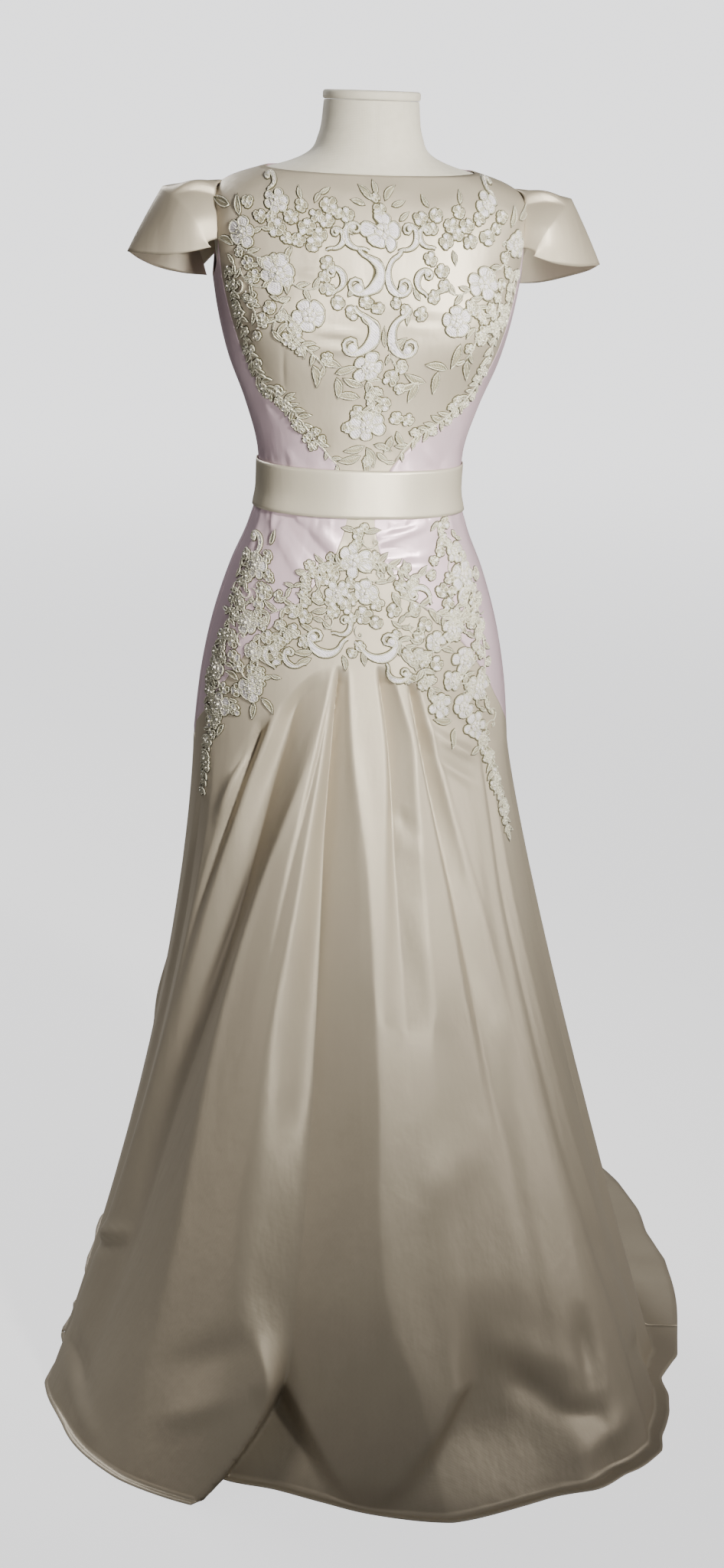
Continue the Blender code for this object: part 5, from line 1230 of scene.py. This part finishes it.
RIGHT_TAIL_VINES = ((154, 818, 162, 790, 166, 764, "lush", 10, 13), (166, 764, 172, 738, 174, 706, "lush", 9, 11))
LEFT_TAIL_MOTIFS = (("rosette", -192, 826, 17, 0), ("rosette", -196, 802, 16, 20), ("rosette", -198, 778, 15, 0),
                    ("leaf", -168, 826, 18, 240))
LEFT_TAIL_VINES = ((-176, 846, -186, 828, -194, 806, "lush", 10, 12), (-194, 806, -198, 776, -198, 742, "lush", 9, 11))
# Outlines of the parts of the cloth that small motifs fill
BODICE_FILLS = (
    ((-176, 1440), (-150, 1446), (-132, 1436), (-104, 1448), (-84, 1450), (-60, 1452), (-32, 1440), (-22, 1416),
     (-30, 1396), (-58, 1388), (-86, 1386), (-100, 1390), (-118, 1404), (-140, 1410), (-150, 1392), (-178, 1386)),
    ((38, 1436), (66, 1446), (100, 1450), (122, 1440), (150, 1444), (178, 1440), (180, 1384), (158, 1384),
     (140, 1402), (118, 1394), (88, 1388), (58, 1388), (34, 1396), (26, 1416)),
    ((-178, 1384), (-146, 1386), (-130, 1380), (-96, 1376), (-92, 1346), (-60, 1326), (-66, 1300), (-98, 1296),
     (-128, 1300), (-154, 1336), (-180, 1352)),
    ((180, 1384), (150, 1380), (112, 1380), (104, 1346), (78, 1340), (70, 1306), (104, 1290), (132, 1300),
     (150, 1336), (178, 1352)),
    ((-66, 1386), (-42, 1386), (-40, 1350), (-30, 1316), (-46, 1316), (-64, 1336)),
    ((44, 1386), (72, 1386), (74, 1344), (58, 1318), (42, 1320), (50, 1350)),
    ((-22, 1284), (12, 1286), (30, 1262), (38, 1220), (50, 1196), (30, 1176), (8, 1146), (-8, 1146), (-22, 1186),
     (-20, 1220), (-30, 1262)),
    ((-12, 1456), (16, 1458), (20, 1436), (28, 1400), (-28, 1400), (-16, 1436)),
)
HIP_FILLS = (
    ((-150, 1046), (-112, 1060), (-100, 1040), (-104, 1004), (-84, 996), (-66, 1012), (-34, 1032), (-18, 1014),
     (-34, 984), (-42, 958), (-60, 934), (-98, 904), (-118, 862), (-150, 846), (-192, 832), (-204, 862), (-194, 900),
     (-178, 944), (-164, 1000)),
    ((82, 1070), (98, 1082), (120, 1060), (148, 1036), (158, 1000), (164, 950), (168, 900), (172, 862), (176, 834),
     (160, 814), (138, 818), (110, 836), (88, 856), (72, 880), (46, 894), (28, 922), (36, 950), (42, 976), (28, 1004),
     (26, 1028), (48, 1030), (72, 1004), (94, 1002), (102, 1030), (86, 1048)),
    ((-8, 1072), (10, 1074), (16, 1050), (28, 1034), (24, 1000), (30, 982), (30, 950), (8, 928), (-14, 924),
     (-42, 940), (-44, 962), (-38, 990), (-32, 1012), (-28, 1034), (-14, 1050)),
)
print("motifs placed by name:", len(BODICE_MOTIFS) + len(HIP_MOTIFS))


# %% Laying the lace on the cloth
def skirt_share(angle, z):
    """How far down the skirt a height lies, as the share t."""
    top_z = pleat_line(angle)
    landing, hem = looked_up(angle, HEM, 1), looked_up(angle, HEM, 2)
    fall = np.hypot(top_z, landing - 0.15)
    return (1 - z / top_z) * fall / (fall + hem - landing)


def on_cloth(across, z):
    """The outer face of the cloth at this place, above or below the pleat line."""
    angle = angle_of(across, np.maximum(z, 0.80))
    angle = angle_of(across, np.maximum(z, pleat_line(angle)))
    below = z < pleat_line(angle)
    place = np.empty((len(z), 3))
    place[~below] = worn(angle[~below], z[~below], CLOTH)
    if below.any():
        place[below] = skirt(angle[below], skirt_share(angle[below], z[below]), CLOTH)
    return place


def laid(points, lift):
    """Points (across, height, rise) in mm, laid on the cloth in metres."""
    points = np.asarray(points, float) / 1000
    across, z, rise = points.T
    small = 0.0010
    middle = on_cloth(across, z)
    along = on_cloth(across + small, z) - middle
    up = on_cloth(across, z + small) - middle
    return middle + unit(np.cross(along, up)) * (rise * LACE_RELIEF + lift)[:, None]


LACE_GROUND = 0.0003
LACE_RELIEF = 1.6
FILL_PITCH = 14.8


def lace(name, node, motifs, vines, fills, seed):
    rng = random.Random(seed)
    d = Drawing()
    for row in vines:
        draw_vine(d, rng, row[:6], row[6], row[7], row[8])
    for kind, x, y, size, turn in motifs:
        if kind == "bloom":
            draw_flower(d, rng, x, y, size, turn, rng.choice((5, 6)))
        elif kind == "rosette":
            draw_flower(d, rng, x, y, size, turn, rng.choice((4, 5, 5, 6)))
        elif kind == "leaf":
            draw_leaf(d, rng, x, y, size, turn)
        else:
            draw_scroll(d, rng, x, y, size, turn, -1 if kind == "scroll_r" else 1)
    taken = [(x, y, size) for _, x, y, size, _ in motifs]
    taken += [(row[i], row[i + 1], row[8] * 0.8) for row in vines for i in (0, 2, 4)]
    for outline in fills:
        fill_between(d, rng, list(outline), taken, FILL_PITCH)
    obj = mesh_object(name, laid(d.points, LACE_GROUND), d.faces, [RAYON, CORD, BEAD, CREAM_RAYON, MOTIF_SHADOW_RIM], d.paints)
    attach(obj, "root")
    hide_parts(node)
    print(f"{name}: {len(d.faces)} faces")
    return obj


bodice_lace = lace("bodice_lace", "lace_bodice", BODICE_MOTIFS, BODICE_VINES, BODICE_FILLS, 3)
hip_lace = lace("hip_lace", "lace_hips", HIP_MOTIFS, HIP_VINES, HIP_FILLS, 5)
right_tail = lace("right_tail_lace", "lace_tail_right", RIGHT_TAIL_MOTIFS, RIGHT_TAIL_VINES, (), 8)
left_tail = lace("left_tail_lace", "lace_tail_left", LEFT_TAIL_MOTIFS, LEFT_TAIL_VINES, (), 9)

# %% Sewing it all together
bodice_front()
for end_name, side_sign in (("left", -1), ("right", 1)):
    bodice_side(end_name, side_sign)
    bodice_back(end_name, side_sign)
    hip_front(end_name, side_sign)
    hip_back(end_name, side_sign)
    sleeve(end_name, side_sign)
skirt_front()
skirt_back("left", -1)
skirt_back("right", 1)
belt()

# %% [markdown]
# ## Studio, light and camera
# A large soft lamp stands to the upper right in front, near enough that the hem gets less light than
# the bodice. A weak one fills the other side and one behind keeps the back readable. The camera
# looks down a little, from just left of the front.

# %% Floor and lights
FLOOR_RADIUS = 10.0
BACKDROP, BACKDROP_COLOUR, NEAR_GLOW = 2.3, "#F2F2F4", 1.5
rim = [(FLOOR_RADIUS * math.cos(a), FLOOR_RADIUS * math.sin(a), 0) for a in np.linspace(0, 2 * math.pi, 49)[:-1]]
PAPER, paper_tree, paper_shader = new_material("studio_paper_matt", Roughness=0.9)
paper_place = add(paper_tree, "ShaderNodeTexCoord").outputs["Object"]
paper_grain = add(paper_tree, "ShaderNodeTexNoise", Vector=paper_place, Scale=3.0, Detail=3.0)
paper_mix = add(paper_tree, "ShaderNodeMix", {"data_type": "RGBA"}, n0=paper_grain.outputs["Fac"],
                n6=linear("#A9A8A6"), n7=linear("#A09F9D"))
# Far from the dress the paper turns into the backdrop's colour, so that no edge shows behind it
far = add(paper_tree, "ShaderNodeVectorMath", {"operation": "LENGTH"}, n0=paper_place).outputs["Value"]
fade = add(paper_tree, "ShaderNodeMapRange", {"interpolation_type": "SMOOTHSTEP"}, Value=far,
           From_Min=1.5, From_Max=9.0, To_Min=0.0, To_Max=1.0).outputs[0]
paper_fade = add(paper_tree, "ShaderNodeMix", {"data_type": "RGBA"}, n0=fade, n6=paper_mix.outputs[2],
                 n7=(0.0, 0.0, 0.0, 1.0))
paper_tree.links.new(paper_fade.outputs[2], paper_shader.inputs["Base Color"])
glow = add(paper_tree, "ShaderNodeMapRange", Value=fade, To_Min=NEAR_GLOW, To_Max=BACKDROP).outputs[0]
paper_seen = add(paper_tree, "ShaderNodeLightPath").outputs["Is Camera Ray"]
paper_glow = add(paper_tree, "ShaderNodeMath", {"operation": "MULTIPLY"}, n0=glow, n1=paper_seen)
paper_tree.links.new(paper_glow.outputs[0], paper_shader.inputs["Emission Strength"])
paper_shader.inputs["Emission Color"].default_value = linear(BACKDROP_COLOUR)
mesh_object("studio_floor", rim, [tuple(range(len(rim)))], [PAPER])

world = bpy.data.worlds.new("studio")
world.use_nodes = True
sky = world.node_tree
seen = add(sky, "ShaderNodeLightPath").outputs["Is Camera Ray"]
glow = add(sky, "ShaderNodeMapRange", Value=seen, To_Min=0.13, To_Max=BACKDROP)
sky.nodes["Background"].inputs["Color"].default_value = linear(BACKDROP_COLOUR)
sky.links.new(glow.outputs[0], sky.nodes["Background"].inputs["Strength"])
bpy.context.scene.world = world


def lamp(name, place, target, size, energy, colour, spread=180):
    data = bpy.data.lights.new(name, "AREA")
    data.shape = "DISK"
    data.size, data.energy, data.color = size, energy, linear(colour)[:3]
    data.spread = math.radians(spread)
    obj = bpy.data.objects.new(name, data)
    obj.location = place
    obj.rotation_euler = (Vector(target) - Vector(place)).to_track_quat("-Z", "Y").to_euler()
    obj.visible_camera = False
    bpy.context.scene.collection.objects.link(obj)
    return obj


lamp("key_softbox", (0.70, -1.42, 1.90), (0.0, -0.1, 1.20), 0.22, 12.0, "#FFFCF4", 70)
lamp("low_softbox", (0.50, -1.85, 0.85), (0.02, -0.1, 1.10), 0.30, 2.4, "#FFFCF4", 46)
lamp("fill_softbox", (-2.6, -1.0, 1.5), (0.0, 0.0, 0.8), 1.2, 9.0, "#FFF6EC")
lamp("train_softbox", (2.1, -0.6, 1.1), (0.45, 0.2, 0.25), 0.8, 2.6, "#FFF9F2", 70)
lamp("back_softbox", (-1.6, 2.7, 2.9), (0.0, 0.2, 0.8), 1.4, 85.0, "#FFFFFF")
# %% Camera
AZIMUTH, PITCH, ROLL = math.radians(-6.0), math.radians(15.46), math.radians(2.0)
DISTANCE, EYE_HEIGHT, SIDESTEP, LENS = 3.0, 1.562, 0.0165, 57.2
right = Vector((math.cos(AZIMUTH), math.sin(AZIMUTH), 0))
ahead = Vector((-math.sin(AZIMUTH) * math.cos(PITCH), math.cos(AZIMUTH) * math.cos(PITCH), -math.sin(PITCH)))
above = right.cross(ahead)
place = Vector((math.sin(AZIMUTH) * DISTANCE, -math.cos(AZIMUTH) * DISTANCE, EYE_HEIGHT)) + right * SIDESTEP
across_axis = right * math.cos(ROLL) + above * math.sin(ROLL)
up_axis = -right * math.sin(ROLL) + above * math.cos(ROLL)
camera_data = bpy.data.cameras.new("camera")
camera_data.sensor_fit = "VERTICAL"
camera_data.sensor_width = camera_data.sensor_height = 36.0
camera_data.lens = LENS
camera = bpy.data.objects.new("camera", camera_data)
axes = Matrix((across_axis, up_axis, -ahead)).transposed()
camera.matrix_world = Matrix.Translation(place) @ axes.to_4x4()
bpy.context.scene.collection.objects.link(camera)
bpy.context.scene.camera = camera
print("camera", [round(v, 3) for v in place])
